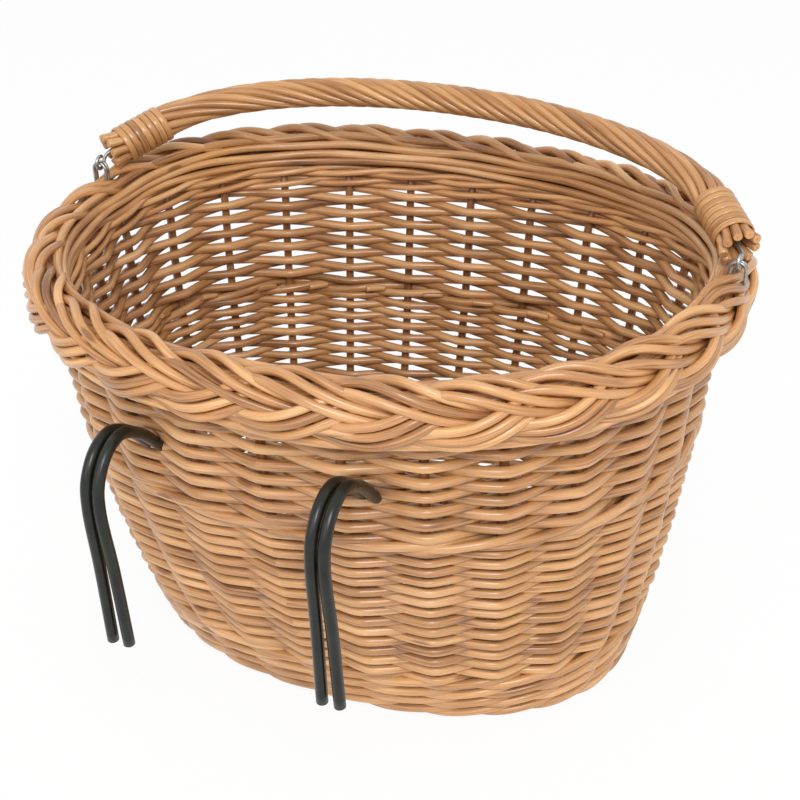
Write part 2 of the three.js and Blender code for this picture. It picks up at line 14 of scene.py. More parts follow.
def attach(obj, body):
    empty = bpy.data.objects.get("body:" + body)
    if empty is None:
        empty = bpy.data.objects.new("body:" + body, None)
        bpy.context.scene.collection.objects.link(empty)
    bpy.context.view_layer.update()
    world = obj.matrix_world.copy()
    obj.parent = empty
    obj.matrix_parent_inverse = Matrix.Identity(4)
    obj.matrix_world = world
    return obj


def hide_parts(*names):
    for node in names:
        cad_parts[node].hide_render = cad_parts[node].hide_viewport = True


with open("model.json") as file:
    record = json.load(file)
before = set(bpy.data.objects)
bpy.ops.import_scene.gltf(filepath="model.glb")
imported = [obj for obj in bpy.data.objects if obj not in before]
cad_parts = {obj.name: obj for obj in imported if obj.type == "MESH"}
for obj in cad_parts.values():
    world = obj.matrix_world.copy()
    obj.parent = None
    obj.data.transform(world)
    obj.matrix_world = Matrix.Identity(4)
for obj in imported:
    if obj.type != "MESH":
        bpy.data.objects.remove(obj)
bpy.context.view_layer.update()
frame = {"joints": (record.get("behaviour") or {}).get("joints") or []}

MM = 0.001
HINGE = np.array(frame["joints"][0]["pos_m"]) / MM
REST_LEAN = math.radians(frame["joints"][0]["range_deg"][1]) / 2
SEED = 7

# Outline of the whole basket
RIM_HALF_LENGTH = 200
RIM_FRONT_DEPTH = 197
RIM_BACK_DEPTH = 148
BASE_HALF_LENGTH = 150
BASE_FRONT_DEPTH = 106
BASE_BACK_DEPTH = 85
BASKET_HEIGHT = 259
OUTLINE_POWER = 2.25
WALL_BULGE_SHARE = 0.68
WALL_THICKNESS = 11
BORDER_OVERHANG = 16
BORDER_HEIGHT = 37
WALL_INTO_BORDER = 3
WALL_TOP = BASKET_HEIGHT - BORDER_HEIGHT + WALL_INTO_BORDER
RIM_PERIMETER = 1040
OVAL_SAMPLES = 2880

# Stakes and the bands of weave, from the foot up
STAKE_COUNT = 26
STAKE_DIAMETER = 4.8
STAKE_WANDER_SHARE = 0.035
STAKE_DRAWN_SHARES = (1.18, 1.06)
STAKE_INNER_REACH = 13
STAKE_FOOT = [(0.4, -3.5), (3, -0.8), (9, 0)]
STAKE_STRAIGHT_FROM = 28
STAKE_STRAIGHT_POINTS = 8
STAKE_TOP_RISE = 14
STAKE_TOP_OUT = 5.5
FOOT_TOP = 42
LOWER_TOP = 154
MIDDLE_TOP = 162
TOP_WALE_FOOT = 226
FOOT_WALE_ROUNDS = 4
FOOT_WALE_OVERLAP = 0.5
FOOT_WALE_LIFT = 0.2
FOOT_ROD = 5.5
LOWER_ROD_BOTTOM = 5.5
LOWER_ROD_TOP = 4.8
ROW_GROWTH_SHARE = 0.2
MIDDLE_ROD = 5.4
UPPER_ROD = 5.5
WALE_RODS = 3
WALE_OUT = [0, 1, 1.08, 1, 0, -1, 0]
WALE_UP = [-1, -1, 0, 1, 1, 0, -1]
WALE_PRESS = 0.3
WALE_SWING_SHARE = 1.06
WALE_INWARD = 1
WALE_END_LENGTH = 13
WALE_END_POINTS = 6
WALE_END_FOOT = -4
LOWER_ROWS = 27
UPPER_ROWS = 14
ROW_CLEARANCE = 0.1
ROW_INWARD = 0.6
ROW_HEIGHT_SCATTER = 0.12
ROW_THICKNESS_SHARE = 0.07
# Painted shade: how much darker a woven row is where it crosses through the wall between two stakes
DIVE_PAINTED_SHADE = 0.8
HOOK_GAP_HALF_WIDTH = 13
HOOK_GAP_SHIFT = 2.4
HOOK_GAP_FADE = 9
STEPS_PER_GAP = 12
ROD_SIDES = 10
HIDDEN_ROD_SIDES = 6

# Plaited border
PLAIT_ROD = 4.9
PLAIT_STRANDS = 5
PLAIT_RODS = 3
PLAIT_REACH = 12.6
PLAIT_OUTWARD = 11.5
PLAIT_LIFT = 4.4
PLAIT_SKEW = 0.32
PLAIT_SHARPNESS = 0.5
# Painted shade: how much darker a border rod is where it sinks under the others
UNDER_PAINTED_SHADE = 0.5
# Painted shade: how much darker the rods inside the border are
INNER_PAINTED_SHADE = 0.25
PLAIT_SPACING = 4.8
PLAIT_TOP_DROP = 3.8
BACK_RISE = 4
HINGE_DIP = 2.2
HINGE_DIP_WIDTH = 26
EDGE_RODS = [(4.6, 2.6), (9.4, 1.8), (14.2, 1.2), (19, 0.4), (-30.8, 1.6), (-35.2, 0.6)]
INNER_RODS = [(-2.4, 7.5), (3, 6), (5, 0), (1, -5), (4, -8), (9, -4)]
RIM_WALE_ROD = 3.9
RIM_WALE_HEIGHT = 7
RIM_WALE_ROUNDS = 2
PLAIT_HALF_WIDTH = 8.2
PLAIT_HALF_HEIGHT = 13.6
PLAIT_STEPS_PER_GAP = 12
PLAIT_FOOT_TURN = 1.3
PLAIT_ARC_SAMPLES = 400
PLAIT_CENTRE = BASKET_HEIGHT - PLAIT_HALF_HEIGHT - PLAIT_TOP_DROP

# Base
MAT_MIDDLE = 6.5
CROSS_STICKS_PER_SIDE = 3
CROSS_STICK_DIAMETER = 6.6
CROSS_STICK_POINTS = 24
LONG_STICKS = 3
FIRST_LONG_STICK = 5
LONG_STICK_WIDTH = 3.8
LONG_STICK_HEIGHT = 3.4
LONG_STICK_POINTS = 30
LONG_STICK_SIDES = 12
STICK_INSET = 2
STICK_END_OUT = -5.8
MAT_ROD = 3.3
MAT_LIFT = 3.1
MAT_CLEARANCE = 0.3
MAT_PACKING_SHARE = 0.98
MAT_ROW_POINTS = 220
MAT_SHORTEST_GAP = 2
SLATH_MARGIN = 6
SLATH_POWER = 5
SLATH_EASE = 1.6
SLATH_ROD_PAST = 3
SLATH_ROD_POINTS = 60
SLATH_SQUEEZE = 0.4

# Hooks
HOOK_WIRE = 6.2
HOOK_SPACING = 120
HOOK_SHIFT = -6
HOOK_HEIGHT = 195
HOOK_REACH = 53
HOOK_RISE = 20
HOOK_DROP = 97
HOOK_TIP_INSET = 10
HOOK_TIP_SPREAD = 9.5
HOOK_WIRE_GAP = 0.4
HOOK_INNER_DROP = 74
HOOK_INNER_SPREAD = 11
HOOK_WALL_CLEARANCE = 2.2
HOOK_STEPS = 9
HOOK_ARCH_SHARES = [(0.25, 0.6), (0.57, 1), (0.81, 0.8), (0.97, 0.22), (1, -0.45)]

# Handle
PIVOT_HALF_SPAN = 192
HANDLE_RISE = 93.5
BOUND_END_ANGLE = math.radians(55)
HANDLE_RODS = 9
HANDLE_ROD = 4.7
HANDLE_ROD_POINTS = 150
HANDLE_CORE_POINTS = 120
HANDLE_ARCH_POINTS = 3000
ROD_END_SCATTER = 1.4
ROD_END_HOLD = 0.6
ROD_END_SWELL_SHARE = 0.1
ROD_END_SWELL_LENGTH = 30
ROPE_RADIUS = 6.36
ROPE_TURNS = 3.2
ROPE_EASE_SHARE = 0.5
ROD_END_HALF_SPAN = 191
ROD_END_HEIGHT = 9
ROD_END_RADIUS = 9.5
ROD_BOUND_RADIUS = 7.8
CORE_DIAMETER = 7
CORE_END_INSET = 14
BINDING_START = 7
BINDING_TURNS = 7
BINDING_PITCH = 4.2
BINDING_WIDTH = 3.9
BINDING_THICKNESS = 1.15
BINDING_EDGE = 0.55
BINDING_STEPS = 48
BINDING_TUCK_STEPS = 2
BINDING_TUCK = 0.35
BINDING_DOME_START = 0.35
BINDING_RADIUS = 10.25
BINDING_TAPER = 24
BINDING_TAIL = 2
EYE_WIRE = 2.2
EYE_RADIUS = 3.7
EYE_SHANK = 16
EYE_BEND_SHARES = (0.12, 0.9)
EYE_BEND_POINTS = 20
EYE_NECK = 0.6
LOOP_WIRE = 1.8
LOOP_TURNS = 2
LOOP_PITCH = 2.5
LOOP_RADIUS = 4.2
LOOP_DEPTH = 16
LOOP_STEPS = 56

# Willow
WOOD_STOPS = (0.05, 0.38, 0.68, 1.0)
STREAK_SHARE = 0.84
BLOTCH_SHARE = 0.9
# Painted light: share of the slow yellow patches that stand in for the light's changing colour
PAINTED_LIGHT_SHARE = 0.9
GLOSS_SPREAD = 0.3
CUT_END_REACH = 2.6

# Camera: from the hook side, above and to the right
CAMERA_AZIMUTH = math.radians(22.206)
CAMERA_ELEVATION = math.radians(29.457)
CAMERA_DISTANCE = 969.6
CAMERA_SIDEWAYS = 2.4
CAMERA_RISE = 125.4
CAMERA_LENS = 67.5
CAMERA_SENSOR = 36
CAMERA_NEAR = 10

# Light and floor, in metres and watts
WORLD_LIGHT = 0.72
LAMPS = [("key", (0.8, -1.6, 1.9), 0.8, 32), ("fill", (-0.5, -1.9, 1.2), 1.0, 6)]
LAMP_TARGET = (0, 0.04, 0.13)
FLOOR_HALF_SIDE = 6.0
FLOOR_WHITE_SHARE = 0.92

# Each rod's length is counted from a random start up to this, so that no two share their streaks
STREAK_START_RANGE = 5000

rng = np.random.default_rng(SEED)


# The oval and the wall

def run_along(points):
    """Length along a line of points, at each of them."""
    steps = np.linalg.norm(np.diff(points, axis=0), axis=1)
    return np.concatenate([[0], np.cumsum(steps)])


def oval(angle, half_length, front, back, squareness=OUTLINE_POWER):
    """Points of an oval whose front and back have their own depths."""
    c, s = np.cos(angle), np.sin(angle)
    depth = np.where(s < 0, front, back)
    power = 2 / squareness
    return np.stack([half_length * np.sign(c) * np.abs(c) ** power,
                     depth * np.sign(s) * np.abs(s) ** power], axis=-1)


def wall_size(z, out):
    """Half length, front and back depth of the wall at a height, out from the wall's middle."""
    share = z / WALL_TOP
    grown = share + WALL_BULGE_SHARE * share * (1 - share)
    offset = out - WALL_THICKNESS / 2

    def between(low, high):
        return low + (high - BORDER_OVERHANG - low) * grown + offset
    return (between(BASE_HALF_LENGTH, RIM_HALF_LENGTH),
            between(BASE_FRONT_DEPTH, RIM_FRONT_DEPTH),
            between(BASE_BACK_DEPTH, RIM_BACK_DEPTH))


def station_table():
    """Shares of the way round the rim, and the oval's angle at each."""
    angles = -np.pi / 2 + 2 * np.pi * np.arange(OVAL_SAMPLES + 1) / OVAL_SAMPLES
    lengths = run_along(oval(angles, *wall_size(WALL_TOP, -WALL_THICKNESS / 2)))
    return lengths / lengths[-1], angles


STATION_SHARES, STATION_ANGLES = station_table()


def station_angle(share):
    """The oval's angle at a share of the way round, from the middle of the hook side."""
    return np.interp(np.mod(share, 1), STATION_SHARES, STATION_ANGLES)


def wall_point(share, z, out):
    """Points of the wall at shares of the way round, heights and distances out from its middle."""
    share, z, out = np.broadcast_arrays(*np.atleast_1d(share, z, out))
    flat = oval(station_angle(share), *wall_size(z, out))
    return np.column_stack([flat, z])


def wall_face_y(x, z, out):
    """The hook side's wall face at a given x, as a y."""
    half_length, front, _ = wall_size(z, out)
    rest = 1 - np.abs(x / half_length) ** OUTLINE_POWER
    return -front * rest ** (1 / OUTLINE_POWER)


# Rods: smooth tubes with a length and a tint written on them; the tint is each rod's own tone, with
# painted shade added in places

def smooth_path(points, steps):
    """A curve through points, with steps places between each two."""
    p = np.array(points, dtype=float)
    p = np.vstack([2 * p[0] - p[1], p, 2 * p[-1] - p[-2]])
    t = np.arange(steps) / steps
    out = []
    for a, b, c, d in zip(p[:-3], p[1:-2], p[2:-1], p[3:]):
        gaps = [max(np.linalg.norm(q - r), 1e-6) ** 0.5 for q, r in ((b, a), (c, b), (d, c))]
        m1 = gaps[1] * ((b - a) / gaps[0] - (c - a) / (gaps[0] + gaps[1]) + (c - b) / gaps[1])
        m2 = gaps[1] * ((c - b) / gaps[1] - (d - b) / (gaps[1] + gaps[2]) + (d - c) / gaps[2])
        for u in t:
            out.append((2 * u**3 - 3 * u**2 + 1) * b + (u**3 - 2 * u**2 + u) * m1
                       + (3 * u**2 - 2 * u**3) * c + (u**3 - u**2) * m2)
    return np.array(out + [p[-2]])


def unit(v):
    return v / np.maximum(np.linalg.norm(v, axis=-1, keepdims=True), 1e-9)


def frames_along(path, closed):
    """Two directions square to the path at each of its points, with no twist between them."""
    if closed:
        along = unit(np.roll(path, -1, axis=0) - np.roll(path, 1, axis=0))
        across = unit(np.cross(along, [0, 0, 1]))
        return across, np.cross(along, across)
    along = unit(np.gradient(path, axis=0))
    start = np.eye(3)[np.argmin(np.abs(along[0]))]
    across = [unit(np.cross(along[0], start))]
    for here, there in zip(along[:-1], along[1:]):
        across.append(unit(across[-1] - there * np.dot(across[-1], there)))
    across = np.array(across)
    return across, np.cross(along, across)


class Rods:
    """Tubes gathered into one mesh."""

    def __init__(self):
        self.vertices, self.tints, self.corners, self.counts = [], [], [], []
        self.uvs, self.slots, self.smooth = [], [], []
        self.size = 0

    def _add_rings(self, rings, lengths, tint, closed):
        count, sides, _ = rings.shape
        self.vertices.append(rings.reshape(-1, 3))
        self.tints.append(np.repeat(np.broadcast_to(tint, count), sides))
        girth = np.linalg.norm(rings[0] - np.roll(rings[0], 1, axis=0), axis=1).sum()
        i = np.arange(count if closed else count - 1)[:, None]
        j = np.arange(sides)[None, :]
        following = (i + 1) % count
        beside = (j + 1) % sides
        quads = np.stack([i * sides + j, i * sides + beside,
                          following * sides + beside, following * sides + j], axis=-1).reshape(-1, 4)
        ends = np.append(lengths, lengths[-1] + lengths[1] - lengths[0])
        shape = (len(i), sides)
        u0 = np.broadcast_to(ends[i], shape)
        u1 = np.broadcast_to(ends[i + 1], shape)
        v0 = np.broadcast_to(j * girth / sides, shape)
        v1 = np.broadcast_to((j + 1) * girth / sides, shape)
        uv = np.stack([np.stack([u0, v0], -1), np.stack([u0, v1], -1),
                       np.stack([u1, v1], -1), np.stack([u1, v0], -1)], axis=2)
        self.corners.append((quads + self.size).ravel())
        self.counts.append(np.full(len(quads), 4))
        self.uvs.append(uv.reshape(-1, 2) * MM)
        self.slots.append(np.zeros(len(quads), dtype=int))
        self.smooth.append(np.ones(len(quads), dtype=bool))
        first = self.size
        self.size += count * sides
        return first

    def _add_cap(self, start, sides, reverse, uv_scale):
        order = np.arange(sides)
        if reverse:
            order = order[::-1]
        angle = 2 * np.pi * order / sides
        self.corners.append(start + order)
        self.counts.append([sides])
        self.uvs.append(np.column_stack([np.cos(angle), np.sin(angle)]) * uv_scale * MM)
        self.slots.append([1])
        self.smooth.append([False])

    def add(self, path, diameter, sides=ROD_SIDES, closed=False, tint=None, bevel_share=0.14):
        """A rod along a path; an open rod's ends are cut square with a small bevel."""
        radius = np.broadcast_to(np.asarray(diameter, dtype=float) / 2, len(path)).copy()
        path = np.asarray(path, dtype=float)
        if tint is None:
            tint = rng.uniform(-1, 1)
        if not closed:
            bevel = bevel_share * radius[[0, -1]]
            first = path[0] + unit(path[0] - path[1]) * bevel[0]
            last = path[-1] + unit(path[-1] - path[-2]) * bevel[1]
            path = np.vstack([first, path, last])
            radius = np.concatenate([[radius[0] - bevel[0]], radius, [radius[-1] - bevel[1]]])
            if np.ndim(tint):
                tint = np.concatenate([tint[:1], tint, tint[-1:]])
        across, up = frames_along(path, closed)
        if not closed:
            across[0], up[0] = across[1], up[1]
            across[-1], up[-1] = across[-2], up[-2]
        angle = 2 * np.pi * np.arange(sides) / sides
        rings = (path[:, None] + radius[:, None, None] * (np.cos(angle)[None, :, None] * across[:, None]
                                                          + np.sin(angle)[None, :, None] * up[:, None]))
        lengths = run_along(path) + rng.uniform(0, STREAK_START_RANGE)
        start = self._add_rings(rings, lengths, tint, closed)
        if not closed:
            self._add_cap(start, sides, True, radius[0])
            self._add_cap(start + (len(path) - 1) * sides, sides, False, radius[-1])

    def add_strip(self, rings, tint):
        """A strip or bar given by its own section rings."""
        lengths = run_along(rings.mean(axis=1)) + rng.uniform(0, STREAK_START_RANGE)
        start = self._add_rings(rings, lengths, tint, False)
        sides = rings.shape[1]
        self._add_cap(start, sides, True, 1)
        self._add_cap(start + (len(rings) - 1) * sides, sides, False, 1)

    def build(self, name, body, slot, node):
        """The mesh as one object that rides on a body in place of a CAD node."""
        mesh = bpy.data.meshes.new(name)
        vertices = (np.vstack(self.vertices) + [0, HINGE[1], 0]) * MM
        corners = np.concatenate(self.corners)
        counts = np.concatenate(self.counts)
        mesh.vertices.add(len(vertices))
        mesh.vertices.foreach_set("co", vertices.ravel())
        mesh.loops.add(len(corners))
        mesh.loops.foreach_set("vertex_index", corners)
        mesh.polygons.add(len(counts))
        mesh.polygons.foreach_set("loop_start", np.concatenate([[0], np.cumsum(counts)[:-1]]))
        mesh.polygons.foreach_set("material_index", np.concatenate(self.slots))
        mesh.polygons.foreach_set("use_smooth", np.concatenate(self.smooth))
        mesh.update(calc_edges=True)
        mesh.uv_layers.new(name="rod").data.foreach_set("uv", np.vstack(self.uvs).ravel())
        tint = mesh.attributes.new("tint", "FLOAT", "POINT")
        tint.data.foreach_set("value", np.concatenate(self.tints))
        mesh.validate()
        for material in SLOT_MATERIALS[slot]:
            mesh.materials.append(material)
        piece = bpy.data.objects.new(name, mesh)
        bpy.context.scene.collection.objects.link(piece)
        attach(piece, body)
        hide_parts(node)


# Materials

def srgb(red, green, blue):
    def linear(value):
        value /= 255
        return value / 12.92 if value <= 0.04045 else ((value + 0.055) / 1.055) ** 2.4
    return (linear(red), linear(green), linear(blue), 1)


class Nodes:
    """A short way to write a material's nodes."""

    def __init__(self, name):
        self.material = bpy.data.materials.new(name)
        self.material.use_nodes = True
        self.tree = self.material.node_tree
        self.shader = self.tree.nodes["Principled BSDF"]

    def add(self, kind, inputs=None, **settings):
        node = self.tree.nodes.new(kind)
        for key, value in settings.items():
            setattr(node, key, value)
        for key, value in (inputs or {}).items():
            if isinstance(value, bpy.types.NodeSocket):
                self.tree.links.new(value, node.inputs[key])
            else:
                node.inputs[key].default_value = value
        return node

    def math(self, operation, a, b=0.0, c=0.0):
        return self.add("ShaderNodeMath", {0: a, 1: b, 2: c}, operation=operation).outputs[0]

    def noise(self, vector, scale, detail=2.0, roughness=0.5):
        node = self.add("ShaderNodeTexNoise", {"Vector": vector, "Scale": scale, "Detail": detail,
                                               "Roughness": roughness})
        return node.outputs["Fac"]

    def ramp(self, value, stops):
        node = self.add("ShaderNodeValToRGB", {"Fac": value})
        ramp = node.color_ramp
        while len(ramp.elements) < len(stops):
            ramp.elements.new(0.5)
        for element, (place, colour) in zip(ramp.elements, stops):
            element.position = place
            element.color = colour
        return node.outputs["Color"]

    def set(self, **inputs):
        for key, value in inputs.items():
            socket = self.shader.inputs[key.replace("_", " ")]
            if isinstance(value, bpy.types.NodeSocket):
                self.tree.links.new(value, socket)
            else:
                socket.default_value = value


def willow(name, colours, tint_share=0.2, roughness=0.27):
    """Varnished willow: streaks along the rod, slow blotches, a tint for each rod (which also carries
    painted shade), small leaf scars, and slow yellow patches of painted light.
    """
    n = Nodes(name)
    rod = n.add("ShaderNodeUVMap", uv_map="rod").outputs["UV"]

    def scaled(along, around):
        return n.add("ShaderNodeMapping", {"Vector": rod, "Scale": (along, around, 1)}).outputs[0]
    streaks = n.noise(scaled(45, 1100), 1.0, detail=3.0)
    blotches = n.noise(scaled(14, 60), 1.0, detail=2.0)
    tint = n.add("ShaderNodeAttribute", attribute_name="tint").outputs["Fac"]
    value = n.math("MULTIPLY_ADD", n.math("SUBTRACT", streaks, 0.5), STREAK_SHARE, 0.5)
    value = n.math("ADD", value, n.math("MULTIPLY", n.math("SUBTRACT", blotches, 0.5), BLOTCH_SHARE))
    value = n.math("ADD", value, n.math("MULTIPLY", tint, tint_share))
    wood = n.ramp(value, list(zip(WOOD_STOPS, colours)))
    cells = n.add("ShaderNodeTexVoronoi", {"Vector": scaled(16, 55), "Scale": 1.0, "Randomness": 1.0},
                  feature="F1").outputs["Distance"]
    scar = n.add("ShaderNodeMapRange", {"Value": cells, "From Min": 0.07, "From Max": 0.12,
                                        "To Min": 0.75, "To Max": 0.0}).outputs["Result"]
    place = n.add("ShaderNodeTexCoord").outputs["Object"]
    # Painted light: slow patches in object space pull the wood towards yellow, standing in for the
    # light's changing colour.
    yellow = n.math("MULTIPLY", n.noise(place, 14.0, detail=2.0), PAINTED_LIGHT_SHARE)
    warm = n.add("ShaderNodeMix", {"Factor": yellow, "A": wood, "B": PAINTED_LIGHT_YELLOW},
                 data_type="RGBA", blend_type="MULTIPLY").outputs["Result"]
    mixed = n.add("ShaderNodeMix", {"Factor": scar, "A": warm, "B": SCAR_BROWN}, data_type="RGBA")
    n.set(Base_Color=mixed.outputs["Result"])
    rough = n.math("MULTIPLY_ADD", blotches, GLOSS_SPREAD, roughness)
    n.set(Roughness=rough, Coat_Weight=0.5, Coat_Roughness=0.17, IOR=1.45)
    bump = n.add("ShaderNodeBump", {"Height": streaks, "Strength": 0.35, "Distance": 0.00025})
    n.set(Normal=bump.outputs["Normal"])
    return n.material


def cut_wood(name, colour, pith):
    """A rod's cut end: pale wood with a darker pith and rim."""
    n = Nodes(name)
    rod = n.add("ShaderNodeUVMap", uv_map="rod").outputs["UV"]
    reach = n.add("ShaderNodeVectorMath", {0: rod}, operation="LENGTH").outputs["Value"]
    grain = n.noise(rod, 1800.0, detail=3.0)
    outward = n.math("MULTIPLY", reach, 1 / (CUT_END_REACH * MM))
    value = n.math("ADD", outward, n.math("MULTIPLY", grain, 0.25))
    n.set(Base_Color=n.ramp(value, [(0.15, pith), (0.35, colour), (0.95, colour), (1.0, pith)]))
    n.set(Roughness=0.75)
    return n.material


def coated(name):
    """Near black plastic coating with a soft gloss and faint waves."""
    n = Nodes(name)
    place = n.add("ShaderNodeTexCoord").outputs["Object"]
    waves = n.noise(place, 90.0, detail=2.0)
    n.set(Base_Color=n.ramp(waves, [(0.3, srgb(17, 19, 14)), (0.7, srgb(30, 33, 26))]))
    n.set(Roughness=n.math("MULTIPLY_ADD", waves, 0.2, 0.2), Specular_IOR_Level=0.4)
    bump = n.add("ShaderNodeBump", {"Height": waves, "Strength": 0.3, "Distance": 0.0006})
    n.set(Normal=bump.outputs["Normal"])
    return n.material


def galvanised(name):
    """Dull zinc on steel wire, with darker patches."""
    n = Nodes(name)
    place = n.add("ShaderNodeTexCoord").outputs["Object"]
    patches = n.noise(place, 420.0, detail=4.0, roughness=0.7)
    n.set(Base_Color=n.ramp(patches, [(0.3, srgb(112, 112, 108)), (0.7, srgb(206, 206, 200))]))
    n.set(Roughness=n.math("MULTIPLY_ADD", patches, 0.35, 0.2), Metallic=0.9)
    return n.material


WALL_COLOURS = [srgb(116, 77, 48), srgb(182, 133, 90), srgb(214, 167, 122), srgb(238, 203, 166)]
BORDER_COLOURS = [srgb(116, 74, 44), srgb(184, 132, 88), srgb(216, 166, 118), srgb(240, 204, 164)]
STAKE_COLOURS = [srgb(92, 60, 38), srgb(134, 90, 58), srgb(162, 114, 76), srgb(188, 140, 98)]
HANDLE_COLOURS = [srgb(116, 72, 40), srgb(176, 126, 82), srgb(204, 156, 110), srgb(232, 192, 148)]
CANE_COLOURS = [srgb(120, 76, 44), srgb(178, 128, 82), srgb(206, 158, 108), srgb(232, 192, 146)]
# Painted light: the yellow that those patches multiply in
PAINTED_LIGHT_YELLOW = srgb(255, 246, 206)
SCAR_BROWN = srgb(120, 74, 42)

cut_ends = cut_wood("cut_ends", srgb(206, 152, 100), srgb(120, 80, 48))
coating = coated("black_coating")
zinc = galvanised("zinc_wire")

# Each slot's material for the rods, and the one for their ends
SLOT_MATERIALS = {
    "willow": (willow("wall_willow", WALL_COLOURS), cut_ends),
    "border_willow": (willow("border_willow", BORDER_COLOURS, tint_share=0.16), cut_ends),
    "stake_willow": (willow("stake_willow", STAKE_COLOURS), cut_ends),
    "handle_willow": (willow("handle_willow", HANDLE_COLOURS, tint_share=0.14), cut_ends),
    "cane": (willow("split_cane", CANE_COLOURS, tint_share=0.15, roughness=0.23), cut_ends),
    "coated_wire": (coating, coating),
    "steel_wire": (zinc, zinc),
}


# Stakes

stake_wander = rng.uniform(-STAKE_WANDER_SHARE, STAKE_WANDER_SHARE, STAKE_COUNT)


def to_stakes(share):
    """Turns a share of the way round into a count of stakes passed, with each stake at a whole number."""
    numbers = np.arange(-1, STAKE_COUNT + 2)
    places = numbers + np.concatenate([stake_wander[-1:], stake_wander, stake_wander[:2]])
    turns = np.floor(share)
    return turns * STAKE_COUNT + np.interp((share - turns) * STAKE_COUNT, places, numbers)


def stake_share(index):
    return (index + stake_wander[index]) / STAKE_COUNT


def wave(shares, cycles, size):
    """A slow wander round the basket: three sines of rising pace and falling size."""
    return sum(size / (k + 1) * np.sin(2 * np.pi * (cycles + k) * shares + rng.uniform(0, 2 * np.pi))
               for k in range(3))


def build_stakes():
    heights = np.linspace(STAKE_STRAIGHT_FROM, WALL_TOP, STAKE_STRAIGHT_POINTS)
    profile = [(MAT_MIDDLE, -WALL_THICKNESS / 2 - STAKE_INNER_REACH),
               *((MAT_MIDDLE + rise, out) for rise, out in STAKE_FOOT),
               *((z, 0) for z in heights),
               (WALL_TOP + STAKE_TOP_RISE, STAKE_TOP_OUT)]
    for i in range(STAKE_COUNT):
        name = f"stake_{i + 1:02d}"
        path = smooth_path([wall_point(stake_share(i), z, out)[0] for z, out in profile], 4)
        rods = Rods()
        rods.add(path, np.linspace(*STAKE_DRAWN_SHARES, len(path)) * STAKE_DIAMETER)
        rods.build(f"{name}_rod", "basket", "stake_willow", name)


# Woven rows

def sharpened(swing, share=0.985):
    """A wave with straighter flanks and tighter bends than a cosine."""
    return np.arcsin(share * swing) / math.asin(share)


def near_hooks(points, z):
    """How far rows give way up or down round the hook wires."""
    shift = np.zeros(len(points))
    for side in (-1, 1):
        x = points[:, 0] - HOOK_SHIFT - side * HOOK_SPACING / 2
        near = np.exp(-(x / HOOK_GAP_HALF_WIDTH) ** 2) * (points[:, 1] < 0)
        gap = z - HOOK_HEIGHT
        shift += near * np.sign(gap) * HOOK_GAP_SHIFT * np.exp(-np.abs(gap) / HOOK_GAP_FADE)
    return shift


def weave_row(rods, z, diameter, phase):
    """One row in front of one stake and behind the next."""
    steps = STAKE_COUNT * STEPS_PER_GAP
    share = np.arange(steps) / steps
    passed = to_stakes(share)
    swing = np.cos(np.pi * (passed + phase))
    reach = (STAKE_DIAMETER + diameter) / 2 + ROW_CLEARANCE
    out = reach * sharpened(swing) + wave(share, cycles=2, size=0.2)
    heights = z + wave(share, cycles=3, size=0.22) + rng.normal(0, ROW_HEIGHT_SCATTER)
    path = wall_point(share, heights, out - ROW_INWARD)
    path[:, 2] += near_hooks(path, z)
    taper = ROW_THICKNESS_SHARE * np.sin(2 * np.pi * share + rng.uniform(0, 6))
    thickness = diameter * (1 + taper + wave(share, cycles=5, size=0.015))
    # The tint darkens each row where it crosses between stakes, in the weave's gaps: painted shade, not
    # the rod's own tone.
    dive_shade = 1 - np.abs(swing)
    tint = rng.uniform(-0.5, 0.5) + wave(share, cycles=3, size=0.35) - DIVE_PAINTED_SHADE * dive_shade**2
    rods.add(path, thickness, closed=True, tint=tint)


def wale_round(rods, z, height, diameter, turn=0.0):
    """Three rods that each pass in front of two stakes and behind one, as one closed run."""
    steps = WALE_RODS * STAKE_COUNT * STEPS_PER_GAP
    share = WALE_RODS * np.arange(steps) / steps
    once = share / WALE_RODS
    phase = np.mod((to_stakes(share) + 0.5 + turn) / WALE_RODS, 1)
    reach = (STAKE_DIAMETER + diameter) / 2 - WALE_PRESS
    places = np.arange(len(WALE_OUT)) / (len(WALE_OUT) - 1)
    kernel = np.hanning(STEPS_PER_GAP + 1)
    kernel /= kernel.sum()

    def softened(values):
        beyond = len(kernel) // 2
        padded = np.concatenate([values[-beyond:], values, values[:beyond]])
        return np.convolve(padded, kernel, mode="valid")
    swing = softened(np.interp(phase, places, WALE_OUT))
    rise = softened(np.interp(phase, places, WALE_UP))
    out = swing * reach * WALE_SWING_SHARE + wave(once, cycles=5, size=0.15)
    heights = z + rise * height / 4 + wave(once, cycles=4, size=0.2)
    thickness = diameter * (1 + wave(once, cycles=4, size=0.04))
    tint = rng.uniform(-0.3, 0.3) + wave(once, cycles=4, size=0.45)
    path = wall_point(np.mod(share, 1), heights, out - WALE_INWARD)
    rods.add(path, thickness, closed=True, tint=tint)


def build_foot_wale():
    rods = Rods()
    height = (FOOT_TOP + FOOT_WALE_OVERLAP) / FOOT_WALE_ROUNDS
    for i in range(FOOT_WALE_ROUNDS):
        wale_round(rods, height * (i + 0.5) + FOOT_WALE_LIFT, height, FOOT_ROD, turn=i)
    rods.build("foot_wale_weave", "basket", "willow", "foot_wale")


def build_lower_randing():
    rods = Rods()
    sizes = np.linspace(LOWER_ROD_BOTTOM, LOWER_ROD_TOP, LOWER_ROWS)
    shares = np.linspace(0, 1, LOWER_ROWS)
    places = FOOT_TOP + (LOWER_TOP - FOOT_TOP) * shares * (1 + ROW_GROWTH_SHARE * (1 - shares))
    for i, (z, size) in enumerate(zip(places, sizes)):
        weave_row(rods, z, size, i % 2)
    rods.build("lower_randing_weave", "basket", "willow", "lower_randing")


